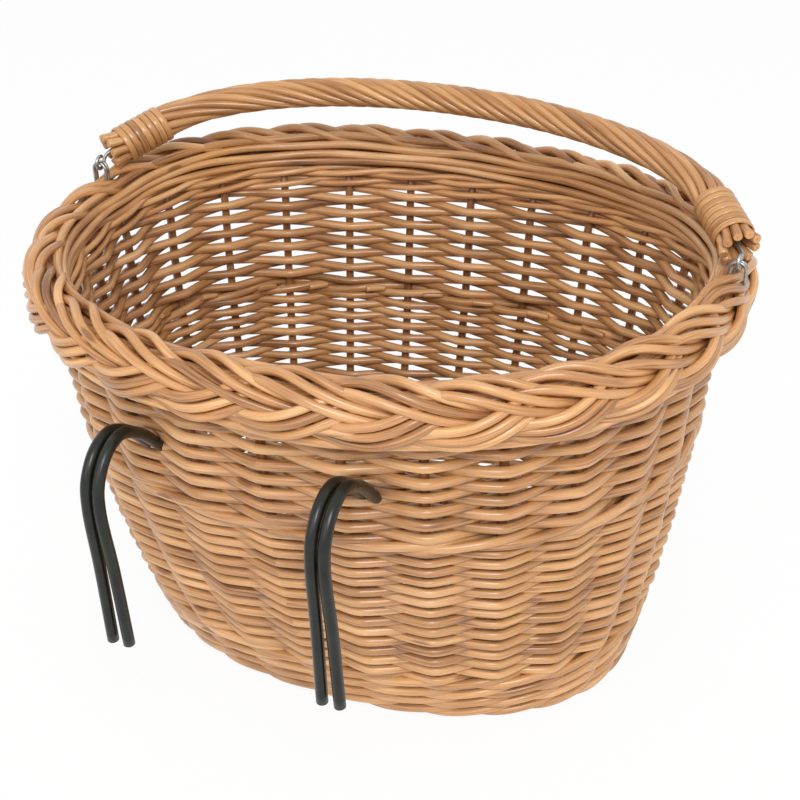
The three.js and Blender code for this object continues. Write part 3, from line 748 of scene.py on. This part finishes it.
def build_middle_wale():
    """One heavy round, with the cut ends of its rods on the inside."""
    rods = Rods()
    middle = (LOWER_TOP + MIDDLE_TOP) / 2
    wale_round(rods, middle, MIDDLE_TOP - LOWER_TOP, MIDDLE_ROD)
    for i in range(STAKE_COUNT):
        start = (i + rng.uniform(0.3, 0.5)) / STAKE_COUNT
        share = start + np.linspace(0, WALE_END_LENGTH / RIM_PERIMETER, WALE_END_POINTS)
        rise = np.linspace(2, 3 + rng.uniform(-1.5, 3), WALE_END_POINTS)
        inward = np.linspace(WALE_END_FOOT, -WALL_THICKNESS / 2 - rng.uniform(2, 4), WALE_END_POINTS)
        path = wall_point(np.mod(share, 1), middle + rise, inward)
        rods.add(path, MIDDLE_ROD * rng.uniform(0.55, 0.75), tint=rng.uniform(-0.7, 0.7))
    rods.build("middle_wale_weave", "basket", "willow", "middle_wale")


def build_upper_randing():
    rods = Rods()
    pitch = (TOP_WALE_FOOT - MIDDLE_TOP) / UPPER_ROWS
    for i in range(UPPER_ROWS):
        weave_row(rods, MIDDLE_TOP + (i + 0.5) * pitch, UPPER_ROD, i % 2)
    rods.build("upper_randing_weave", "basket", "willow", "upper_randing")


# Border

def rim_line(share, out):
    """The basket's outermost line seen from above, moved out."""
    return oval(station_angle(share), RIM_HALF_LENGTH + out, RIM_FRONT_DEPTH + out, RIM_BACK_DEPTH + out)


def rim_frame(share):
    """The border's middle line, and the direction out of the basket there."""
    middle = rim_line(share, -PLAIT_HALF_WIDTH - PLAIT_ROD)
    outward = unit(rim_line(share, 0) - rim_line(share, -1))
    return middle, outward


def on_border(share, across, lift):
    """A point on the border: across from the inner foot (+) over the top to the outer foot (-)."""
    turn = np.linspace(-PLAIT_FOOT_TURN, np.pi + PLAIT_FOOT_TURN, PLAIT_ARC_SAMPLES)
    arc = np.column_stack([PLAIT_HALF_WIDTH * np.cos(turn), PLAIT_HALF_HEIGHT * np.sin(turn)])
    run = run_along(arc)
    run -= run[-1] / 2
    angle = np.interp(across, run, turn)
    normal = unit(np.column_stack([PLAIT_HALF_HEIGHT * np.cos(angle), PLAIT_HALF_WIDTH * np.sin(angle)]))
    out = PLAIT_HALF_WIDTH * np.cos(angle) + normal[:, 0] * lift
    up = PLAIT_HALF_HEIGHT * np.sin(angle) + normal[:, 1] * lift
    middle, outward = rim_frame(share)
    return np.column_stack([middle + outward * out[:, None], PLAIT_CENTRE + back_rise(share) + up])


def back_rise(share):
    """How far the border climbs towards the middle of the back, and dips beside the handle's hinges."""
    climb = BACK_RISE * (0.5 - 0.5 * np.cos(2 * np.pi * share)) ** 2
    place = rim_line(share, 0)
    dip = np.exp(-(place[:, 1] / HINGE_DIP_WIDTH) ** 2)
    return climb - HINGE_DIP * dip


def plait_rods(rods):
    """Strands of rods that swing across the border's top, over and under each other, as closed runs."""
    steps = PLAIT_STRANDS * STAKE_COUNT * PLAIT_STEPS_PER_GAP
    share = PLAIT_STRANDS * np.arange(steps) / steps
    turn = 2 * np.pi * share * STAKE_COUNT / PLAIT_STRANDS
    theta = turn + PLAIT_SKEW * (1 - np.cos(turn))
    along = share * RIM_PERIMETER
    across = PLAIT_REACH * sharpened(np.cos(theta), PLAIT_SHARPNESS)
    slope = np.gradient(across, along)
    normal = unit(np.column_stack([-slope, np.ones_like(slope)]))
    under = np.clip(-np.sin(2 * theta), 0, 1)
    once = share / PLAIT_STRANDS
    strand = wave(once, cycles=13, size=0.35)
    for k in range(PLAIT_RODS):
        beside = (k - (PLAIT_RODS - 1) / 2) * PLAIT_SPACING
        at = (along + normal[:, 0] * beside) / RIM_PERIMETER
        over = across + normal[:, 1] * beside + strand + wave(once, cycles=17, size=0.25)
        lift = PLAIT_LIFT * np.sin(2 * theta) + wave(once, cycles=19, size=0.2)
        path = on_border(np.mod(at, 1), -over - PLAIT_OUTWARD, lift)
        # The tint darkens each rod where it sinks under the others: painted shade.
        tint = rng.uniform(-0.5, 0.5) + wave(once, cycles=23, size=0.7) - UNDER_PAINTED_SHADE * under
        thickness = PLAIT_ROD * (1 + wave(once, cycles=8, size=0.05))
        rods.add(path, thickness, closed=True, tint=tint)


def border_rounds(rods):
    """Rods that follow the rim: along the plait's edges, and inside it."""
    steps = STAKE_COUNT * STEPS_PER_GAP
    share = np.arange(steps) / steps
    middle, outward = rim_frame(share)
    for across, lift in EDGE_RODS:
        beside = across + wave(share, cycles=4, size=0.5) + wave(share, cycles=13, size=0.35)
        path = on_border(share, beside, lift + wave(share, cycles=9, size=0.5))
        tint = rng.uniform(-0.5, 0.6) + wave(share, cycles=5, size=0.6)
        thickness = PLAIT_ROD * (1 + wave(share, cycles=6, size=0.05))
        rods.add(path, thickness, closed=True, tint=tint)
    for out, up in INNER_RODS:
        flat = middle + outward * (out + wave(share, cycles=9, size=0.7))[:, None]
        height = PLAIT_CENTRE + back_rise(share) + up + wave(share, cycles=7, size=0.7)
        # Rods inside the border are tinted darker: painted shade.
        tint = rng.uniform(-0.6, 0.6) + wave(share, cycles=5, size=0.6) - INNER_PAINTED_SHADE
        thickness = PLAIT_ROD * (1 + wave(share, cycles=6, size=0.06))
        path = np.column_stack([flat, height])
        rods.add(path, thickness, sides=HIDDEN_ROD_SIDES, closed=True, tint=tint)


def build_border():
    rods = Rods()
    plait_rods(rods)
    border_rounds(rods)
    for i in range(RIM_WALE_ROUNDS):
        height = TOP_WALE_FOOT + (i + 0.5) * RIM_WALE_HEIGHT
        wale_round(rods, height, RIM_WALE_HEIGHT, RIM_WALE_ROD, turn=i)
    rods.build("border_plait_weave", "basket", "border_willow", "border_plait")


# Base

def stick_ends():
    """The x of each cross stick and the y of each long stick: halfway between two stakes."""
    def halfway(number):
        return wall_point((number + 0.5) / STAKE_COUNT, MAT_MIDDLE, STICK_END_OUT)[0]
    xs = [halfway(i)[0] for i in range(CROSS_STICKS_PER_SIDE)]
    ys = [halfway(FIRST_LONG_STICK + i)[1] for i in range(LONG_STICKS)]
    return sorted([-x for x in xs] + xs), ys


def mat_half(x=None, y=None, inset=0.0):
    """Both ends of the base's mat across it at x, or along it at y."""
    half_length, front, back = wall_size(MAT_MIDDLE, -WALL_THICKNESS / 2 - MAT_CLEARANCE - inset)
    if x is not None:
        rest = (1 - abs(x / half_length) ** OUTLINE_POWER) ** (1 / OUTLINE_POWER)
        return -front * rest, back * rest
    depth = front if y < 0 else back
    rest = half_length * (1 - abs(y / depth) ** OUTLINE_POWER) ** (1 / OUTLINE_POWER)
    return -rest, rest


def mat_row(rods, share, phase, xs, ys, slath):
    """One oval row of the base, over and under the sticks that it crosses; squarer near the middle."""
    edge = wall_size(MAT_MIDDLE, -WALL_THICKNESS / 2 - MAT_CLEARANCE - MAT_ROD / 2)
    sizes = [low + (high - low) * share for low, high in zip(slath, edge)]
    power = SLATH_POWER + (OUTLINE_POWER - SLATH_POWER) * min(1, share * SLATH_EASE)
    angle = 2 * np.pi * np.arange(OVAL_SAMPLES) / OVAL_SAMPLES
    points = oval(angle, *sizes, power)
    run = run_along(points)
    crossings = []
    for values, places in ((points[:, 0], xs), (points[:, 1], ys)):
        for place in places:
            sign = np.sign(values - place)
            crossings += list(run[np.nonzero(sign != np.roll(sign, -1))[0]])
    crossings = np.sort(crossings)
    crossings = crossings[np.concatenate([[True], np.diff(crossings) > MAT_SHORTEST_GAP])]
    total = run[-1]
    count = len(crossings) - len(crossings) % 2
    stops = np.concatenate([crossings[:count] - total, crossings[:count], crossings[:count] + total])
    places = np.linspace(0, total, MAT_ROW_POINTS, endpoint=False)
    passed = np.interp(places, stops, np.arange(-count, 2 * count))
    lift = MAT_LIFT * np.cos(np.pi * (passed + phase))
    flat = np.column_stack([np.interp(places, run, points[:, k]) for k in range(2)])
    path = np.column_stack([flat, MAT_MIDDLE + lift])
    thickness = MAT_ROD * (1 + wave(places / total, cycles=3, size=0.04))
    rods.add(path, thickness, closed=True, tint=rng.uniform(-0.8, 0.8))


def fill_slath(rods, xs, ys, slath):
    """Short rods beside the long sticks, woven over and under the cross sticks."""
    half_length, front, back = slath
    count = int((front + back) / MAT_ROD)
    pitch = xs[1] - xs[0]
    for i, y in enumerate(np.linspace(-front + MAT_ROD, back - MAT_ROD, count)):
        if min(abs(y - place) for place in ys) < (LONG_STICK_WIDTH + MAT_ROD) / 2 - SLATH_SQUEEZE:
            continue
        end = half_length + SLATH_ROD_PAST
        x = np.linspace(-end, end, SLATH_ROD_POINTS)
        passed = np.interp(x, [xs[0] - pitch, *xs, xs[-1] + pitch], np.arange(-1, len(xs) + 1))
        lift = MAT_LIFT * np.cos(np.pi * (passed + i % 2))
        path = np.column_stack([x, np.full(len(x), y), MAT_MIDDLE + lift])
        rods.add(path, MAT_ROD, tint=rng.uniform(-0.8, 0.8))


def build_sticks(xs, ys):
    for i, x in enumerate(xs):
        y = np.linspace(*mat_half(x=x, inset=STICK_INSET), CROSS_STICK_POINTS)
        path = np.column_stack([np.full(len(y), x), y, np.full(len(y), MAT_MIDDLE)])
        rods = Rods()
        rods.add(path, CROSS_STICK_DIAMETER, sides=12)
        rods.build(f"base_cross_stick_{i + 1}_rod", "basket", "stake_willow", f"base_cross_stick_{i + 1}")
    turn = 2 * np.pi * np.arange(LONG_STICK_SIDES) / LONG_STICK_SIDES
    section = np.column_stack([np.cos(turn) * LONG_STICK_WIDTH / 2, np.sin(turn) * LONG_STICK_HEIGHT / 2])
    for i, y in enumerate(ys):
        steps = np.linspace(*mat_half(y=y, inset=STICK_INSET), LONG_STICK_POINTS)
        rings = np.array([[(x, y + a, MAT_MIDDLE + b) for a, b in section] for x in steps])
        rods = Rods()
        rods.add_strip(rings, rng.uniform(-0.5, 0.5))
        rods.build(f"base_long_stick_{i + 1}_rod", "basket", "stake_willow", f"base_long_stick_{i + 1}")


def build_base():
    xs, ys = stick_ends()
    build_sticks(xs, ys)
    rods = Rods()
    slath = (xs[-1] + SLATH_MARGIN, SLATH_MARGIN - ys[0], ys[-1] + SLATH_MARGIN)
    rows = int((mat_half(y=0.0)[1] - slath[0]) / (MAT_ROD * MAT_PACKING_SHARE))
    for i in range(rows + 1):
        mat_row(rods, i / rows, i % 2, xs, ys, slath)
    fill_slath(rods, xs, ys, slath)
    rods.build("base_mat_weave", "basket", "willow", "base_mat")


# Hooks

def hook_path(centre_x):
    """One wire from tip to tip: over the arch, through the wall, down behind it and back."""
    exit_y = wall_face_y(centre_x, HOOK_HEIGHT, WALL_THICKNESS / 2)
    close = (HOOK_WIRE + HOOK_WIRE_GAP) / 2
    inner_end = HOOK_HEIGHT - HOOK_INNER_DROP

    def beside(side, x, z):
        face = wall_face_y(centre_x + side * x, z, -WALL_THICKNESS / 2)
        return (x, face + HOOK_WALL_CLEARANCE + HOOK_WIRE / 2, z)

    def half(side):
        tip = HOOK_TIP_SPREAD / 2
        rows = [(tip, exit_y - HOOK_REACH + HOOK_TIP_INSET, HOOK_HEIGHT - HOOK_DROP),
                ((tip + close) / 2, exit_y - HOOK_REACH + HOOK_TIP_INSET / 2,
                 HOOK_HEIGHT - HOOK_DROP / 2)]
        rows += [(close, exit_y - reach * HOOK_REACH, HOOK_HEIGHT + rise * HOOK_RISE)
                 for reach, rise in reversed(HOOK_ARCH_SHARES)]
        rows += [(close, exit_y, HOOK_HEIGHT),
                 (close, exit_y + WALL_THICKNESS / 2, HOOK_HEIGHT - WALL_THICKNESS / 2),
                 beside(side, close, HOOK_HEIGHT - HOOK_RISE),
                 beside(side, close, HOOK_HEIGHT - HOOK_INNER_DROP / 2),
                 beside(side, HOOK_INNER_SPREAD / 2, inner_end + HOOK_INNER_SPREAD)]
        return [(centre_x + side * x, y, z) for x, y, z in rows]
    turn = beside(0, 0, inner_end)
    return smooth_path([*half(1), (centre_x, turn[1], inner_end), *reversed(half(-1))], HOOK_STEPS)


def build_hooks():
    for name, side in (("hook_left", -1), ("hook_right", 1)):
        rods = Rods()
        rods.add(hook_path(HOOK_SHIFT + side * HOOK_SPACING / 2), HOOK_WIRE, sides=16, bevel_share=0.3)
        rods.build(f"{name}_wire", "basket", "coated_wire", name)


# Handle

class Arch:
    """The handle's middle line, upright: straight bound ends joined by a stretch of an ellipse."""

    def __init__(self):
        bound = BINDING_START + BINDING_TURNS * BINDING_PITCH + BINDING_TAIL
        end = np.array([ROD_END_HALF_SPAN, ROD_END_HEIGHT])
        joint = end + bound * np.array([-math.cos(BOUND_END_ANGLE), math.sin(BOUND_END_ANGLE)])
        slope = math.tan(BOUND_END_ANGLE)
        drop = HANDLE_RISE - joint[1]
        sunk = drop**2 / (joint[0] * slope - 2 * drop)
        rise = drop + sunk
        span = rise * math.sqrt(joint[0] / (slope * sunk))
        reach = math.asin(joint[0] / span)
        turn = np.linspace(-reach, reach, HANDLE_ARCH_POINTS)
        middle = np.column_stack([span * np.sin(turn), joint[1] - sunk + rise * np.cos(turn)])
        flip = np.array([-1, 1])
        points = np.vstack([end * flip, middle, end])
        self.points = np.column_stack([points[:, 0], np.zeros(len(points)), points[:, 1]])
        self.run = run_along(self.points)
        self.length = self.run[-1]

    def at(self, length):
        return np.column_stack([np.interp(length, self.run, self.points[:, k]) for k in range(3)])

    def around(self, length, angle, radius):
        """Points beside the arch, at lengths along it, angles round it and distances out from it."""
        length = np.atleast_1d(length).astype(float)
        step = 0.5
        along = unit(self.at(length + step) - self.at(length - step))
        sideways = np.array([0.0, 1.0, 0.0])
        outward = np.cross(along, sideways)
        radius = np.broadcast_to(radius, length.shape)[:, None]
        angle = np.broadcast_to(angle, length.shape)[:, None]
        return self.at(length) + radius * (np.cos(angle) * sideways + np.sin(angle) * outward)


arch = Arch()


def leaned(points):
    """Takes points of the upright handle to its place of rest."""
    c, s = math.cos(REST_LEAN), math.sin(REST_LEAN)
    x, y, z = np.asarray(points).reshape(-1, 3).T
    return np.column_stack([x, y * c + z * s, HINGE[2] - y * s + z * c]).reshape(np.shape(points))


def rod_distance(length):
    """How far a twisted rod's middle lies from the handle's middle line."""
    from_end = np.minimum(length, arch.length - length)
    bound = BINDING_START + BINDING_TURNS * BINDING_PITCH

    def smooth(low, high):
        t = np.clip((from_end - low) / (high - low), 0, 1)
        return 1 - t * t * (3 - 2 * t)
    bulge = (ROD_BOUND_RADIUS - ROPE_RADIUS) * smooth(bound, bound + BINDING_TAPER)
    return ROPE_RADIUS + bulge + (ROD_END_RADIUS - ROD_BOUND_RADIUS) * smooth(0, BINDING_START)


def rope_angle(length):
    """The twist at a length along the handle, slower towards the bound ends."""
    share = length / arch.length
    eased = share - ROPE_EASE_SHARE * np.sin(2 * np.pi * share) / (2 * np.pi)
    return 2 * np.pi * ROPE_TURNS * eased


def build_handle():
    rods = Rods()
    core = np.linspace(CORE_END_INSET, arch.length - CORE_END_INSET, HANDLE_CORE_POINTS)
    rods.add(leaned(arch.at(core)), CORE_DIAMETER)
    rods.build("handle_core_cane", "handle", "handle_willow", "handle_core")
    for i in range(HANDLE_RODS):
        start, past = rng.uniform(-ROD_END_SCATTER, ROD_END_SCATTER, 2)
        lengths = np.linspace(start, arch.length + past, HANDLE_ROD_POINTS)
        angle = 2 * np.pi * i / HANDLE_RODS + rope_angle(np.clip(lengths, 0, arch.length))
        held = np.clip(lengths, ROD_END_HOLD, arch.length - ROD_END_HOLD)
        path = arch.around(held, angle, rod_distance(lengths))
        from_end = np.minimum(lengths - start, arch.length + past - lengths)
        swell = ROD_END_SWELL_SHARE * np.exp(-from_end / ROD_END_SWELL_LENGTH)
        rods = Rods()
        rods.add(leaned(path), HANDLE_ROD * (1 + swell), sides=12, tint=rng.uniform(-0.8, 0.8))
        rods.build(f"handle_rod_{i + 1}_willow", "handle", "handle_willow", f"handle_rod_{i + 1}")


def build_binding(side, end):
    """A split cane wound round the rods: flat inside, domed outside."""
    steps = BINDING_TURNS * BINDING_STEPS
    past = 2 * BINDING_TUCK_STEPS
    t = np.arange(-past, steps + past + 1)
    angle = 2 * np.pi * t / BINDING_STEPS
    start = BINDING_START if end < 0 else arch.length - BINDING_START
    direction = 1 if end < 0 else -1
    half = BINDING_WIDTH / 2
    length = start + direction * (BINDING_PITCH * t / BINDING_STEPS + half)
    dome = np.linspace(BINDING_DOME_START, math.pi - BINDING_DOME_START, 5)
    section = [(-half, 0), (half, 0), (half, BINDING_EDGE)]
    section += [(half * math.cos(a), BINDING_EDGE + (BINDING_THICKNESS - BINDING_EDGE) * math.sin(a))
                for a in dome]
    section.append((-half, BINDING_EDGE))
    inside = np.minimum(t, steps - t) + BINDING_TUCK_STEPS
    tucked = np.minimum(0, inside) * BINDING_TUCK
    rings = np.stack([arch.around(length + along, angle, BINDING_RADIUS + out + tucked)
                      for along, out in section], axis=1)
    rods = Rods()
    tint = 0.7 * np.sin(angle * 0.37 + end) + rng.normal(0, 0.1, len(t))
    rods.add_strip(leaned(rings), tint)
    rods.build(f"binding_{side}_cane", "handle", "cane", f"binding_{side}")


def build_eye(side, end):
    """The wire eye: a shank in the core's end, bent round the top of the loop."""
    insets = [CORE_END_INSET + EYE_SHANK, CORE_END_INSET + EYE_SHANK / 2,
              CORE_END_INSET, CORE_END_INSET / 2]
    shank = [arch.at(np.array([arch.length - inset if end > 0 else inset]))[0] for inset in insets]
    centre = np.array([end * PIVOT_HALF_SPAN, 0, 0])
    neck = centre + (0, EYE_NECK, 2 * EYE_RADIUS)
    turn = 2 * np.pi * np.linspace(*EYE_BEND_SHARES, EYE_BEND_POINTS)
    bend = [centre + (0, EYE_RADIUS * math.sin(a), EYE_RADIUS * math.cos(a)) for a in turn]
    rods = Rods()
    rods.add(leaned(smooth_path([*shank, neck, *bend], 4)), EYE_WIRE, sides=12)
    rods.build(f"eye_{side}_wire", "handle", "steel_wire", f"eye_{side}")


def build_loop(side, end):
    """A double turn of wire standing out of the border."""
    lap = 2 * (LOOP_DEPTH + math.pi * LOOP_RADIUS)
    top = HINGE[2] - LOOP_RADIUS
    bottom = top - LOOP_DEPTH
    quarter = math.pi * LOOP_RADIUS / 2
    points = []
    for t in np.linspace(0, 1, LOOP_TURNS * LOOP_STEPS + 1):
        run = (t * LOOP_TURNS * lap) % lap if t < 1 else lap
        if run < quarter:
            angle = run / LOOP_RADIUS
            x, z = LOOP_RADIUS * math.sin(angle), bottom - LOOP_RADIUS * math.cos(angle)
        elif run < quarter + LOOP_DEPTH:
            x, z = LOOP_RADIUS, bottom + run - quarter
        elif run < 3 * quarter + LOOP_DEPTH:
            angle = (run - LOOP_DEPTH) / LOOP_RADIUS
            x, z = LOOP_RADIUS * math.sin(angle), top - LOOP_RADIUS * math.cos(angle)
        elif run < 3 * quarter + 2 * LOOP_DEPTH:
            x, z = -LOOP_RADIUS, top - (run - 3 * quarter - LOOP_DEPTH)
        else:
            angle = (run - 2 * LOOP_DEPTH) / LOOP_RADIUS
            x, z = LOOP_RADIUS * math.sin(angle), bottom - LOOP_RADIUS * math.cos(angle)
        points.append((end * PIVOT_HALF_SPAN + x, LOOP_PITCH * LOOP_TURNS * (t - 0.5), z))
    rods = Rods()
    rods.add(np.array(points), LOOP_WIRE, sides=10)
    rods.build(f"loop_{side}_wire", "basket", "steel_wire", f"loop_{side}")


# Camera, floor and light

def stand(name, data, place, back, right):
    """A camera or lamp at a place in metres, looking away from back, with right to its right."""
    up = np.cross(back, right)
    thing = bpy.data.objects.new(name, data)
    bpy.context.scene.collection.objects.link(thing)
    rows = [[right[k], up[k], back[k], place[k]] for k in range(3)]
    thing.matrix_world = Matrix(rows + [[0, 0, 0, 1]])
    return thing


def build_camera():
    a, e = CAMERA_AZIMUTH, CAMERA_ELEVATION
    back = np.array([math.sin(a) * math.cos(e), -math.cos(a) * math.cos(e), math.sin(e)])
    right = np.array([math.cos(a), math.sin(a), 0])
    up = np.cross(back, right)
    place = back * CAMERA_DISTANCE + right * CAMERA_SIDEWAYS + up * CAMERA_RISE + [0, HINGE[1], 0]
    data = bpy.data.cameras.new("camera")
    data.lens = CAMERA_LENS
    data.sensor_width = CAMERA_SENSOR
    data.clip_start = CAMERA_NEAR * MM
    bpy.context.scene.camera = stand("camera", data, place * MM, back, right)


def seen_straight(tree):
    """One for what the camera sees, straight or in gloss or glass, and zero for light on the object."""
    rays = tree.nodes.new("ShaderNodeLightPath").outputs
    seen = rays["Is Camera Ray"]
    for kind in ("Is Glossy Ray", "Is Transmission Ray"):
        either = tree.nodes.new("ShaderNodeMath")
        either.operation = "MAXIMUM"
        tree.links.new(seen, either.inputs[0])
        tree.links.new(rays[kind], either.inputs[1])
        seen = either.outputs[0]
    return seen


def build_floor():
    half = FLOOR_HALF_SIDE
    corners = [(-half, -half, 0), (half, -half, 0), (half, half, 0), (-half, half, 0)]
    mesh = bpy.data.meshes.new("floor")
    mesh.from_pydata(corners, [], [(0, 1, 2, 3)])
    floor = bpy.data.objects.new("floor", mesh)
    bpy.context.scene.collection.objects.link(floor)
    n = Nodes("floor_white")
    n.set(Base_Color=srgb(250, 250, 250), Roughness=0.9, Specular_IOR_Level=0.1)
    white = n.add("ShaderNodeEmission", {"Color": (1, 1, 1, 1), "Strength": 1.0})
    share = n.math("MULTIPLY", seen_straight(n.tree), FLOOR_WHITE_SHARE)
    mixed = n.add("ShaderNodeMixShader", {0: share, 1: n.shader.outputs[0], 2: white.outputs[0]})
    n.tree.links.new(mixed.outputs[0], n.tree.nodes["Material Output"].inputs["Surface"])
    mesh.materials.append(n.material)


def build_light():
    """A white world, full to the eye and weaker as light, and two lamps in front."""
    world = bpy.data.worlds.new("studio")
    bpy.context.scene.world = world
    world.use_nodes = True
    tree = world.node_tree
    tree.nodes.clear()
    mix = tree.nodes.new("ShaderNodeMixShader")
    tree.links.new(seen_straight(tree), mix.inputs[0])
    for number, strength in ((1, WORLD_LIGHT), (2, 1.0)):
        background = tree.nodes.new("ShaderNodeBackground")
        background.inputs["Color"].default_value = (1, 1, 1, 1)
        background.inputs["Strength"].default_value = strength
        tree.links.new(background.outputs[0], mix.inputs[number])
    out = tree.nodes.new("ShaderNodeOutputWorld")
    tree.links.new(mix.outputs[0], out.inputs["Surface"])
    for name, place, size, power in LAMPS:
        data = bpy.data.lights.new(name, "AREA")
        data.size = size
        data.energy = power
        back = unit(np.array(place) - LAMP_TARGET)
        stand(name, data, place, back, unit(np.cross([0, 0, 1], back)))


build_camera()
build_floor()
build_light()
build_stakes()
build_foot_wale()
build_lower_randing()
build_middle_wale()
build_upper_randing()
build_border()
build_base()
build_hooks()
build_handle()
for side, end in (("left", -1), ("right", 1)):
    build_binding(side, end)
    build_eye(side, end)
    build_loop(side, end)

bpy.context.scene.view_settings.view_transform = "Standard"
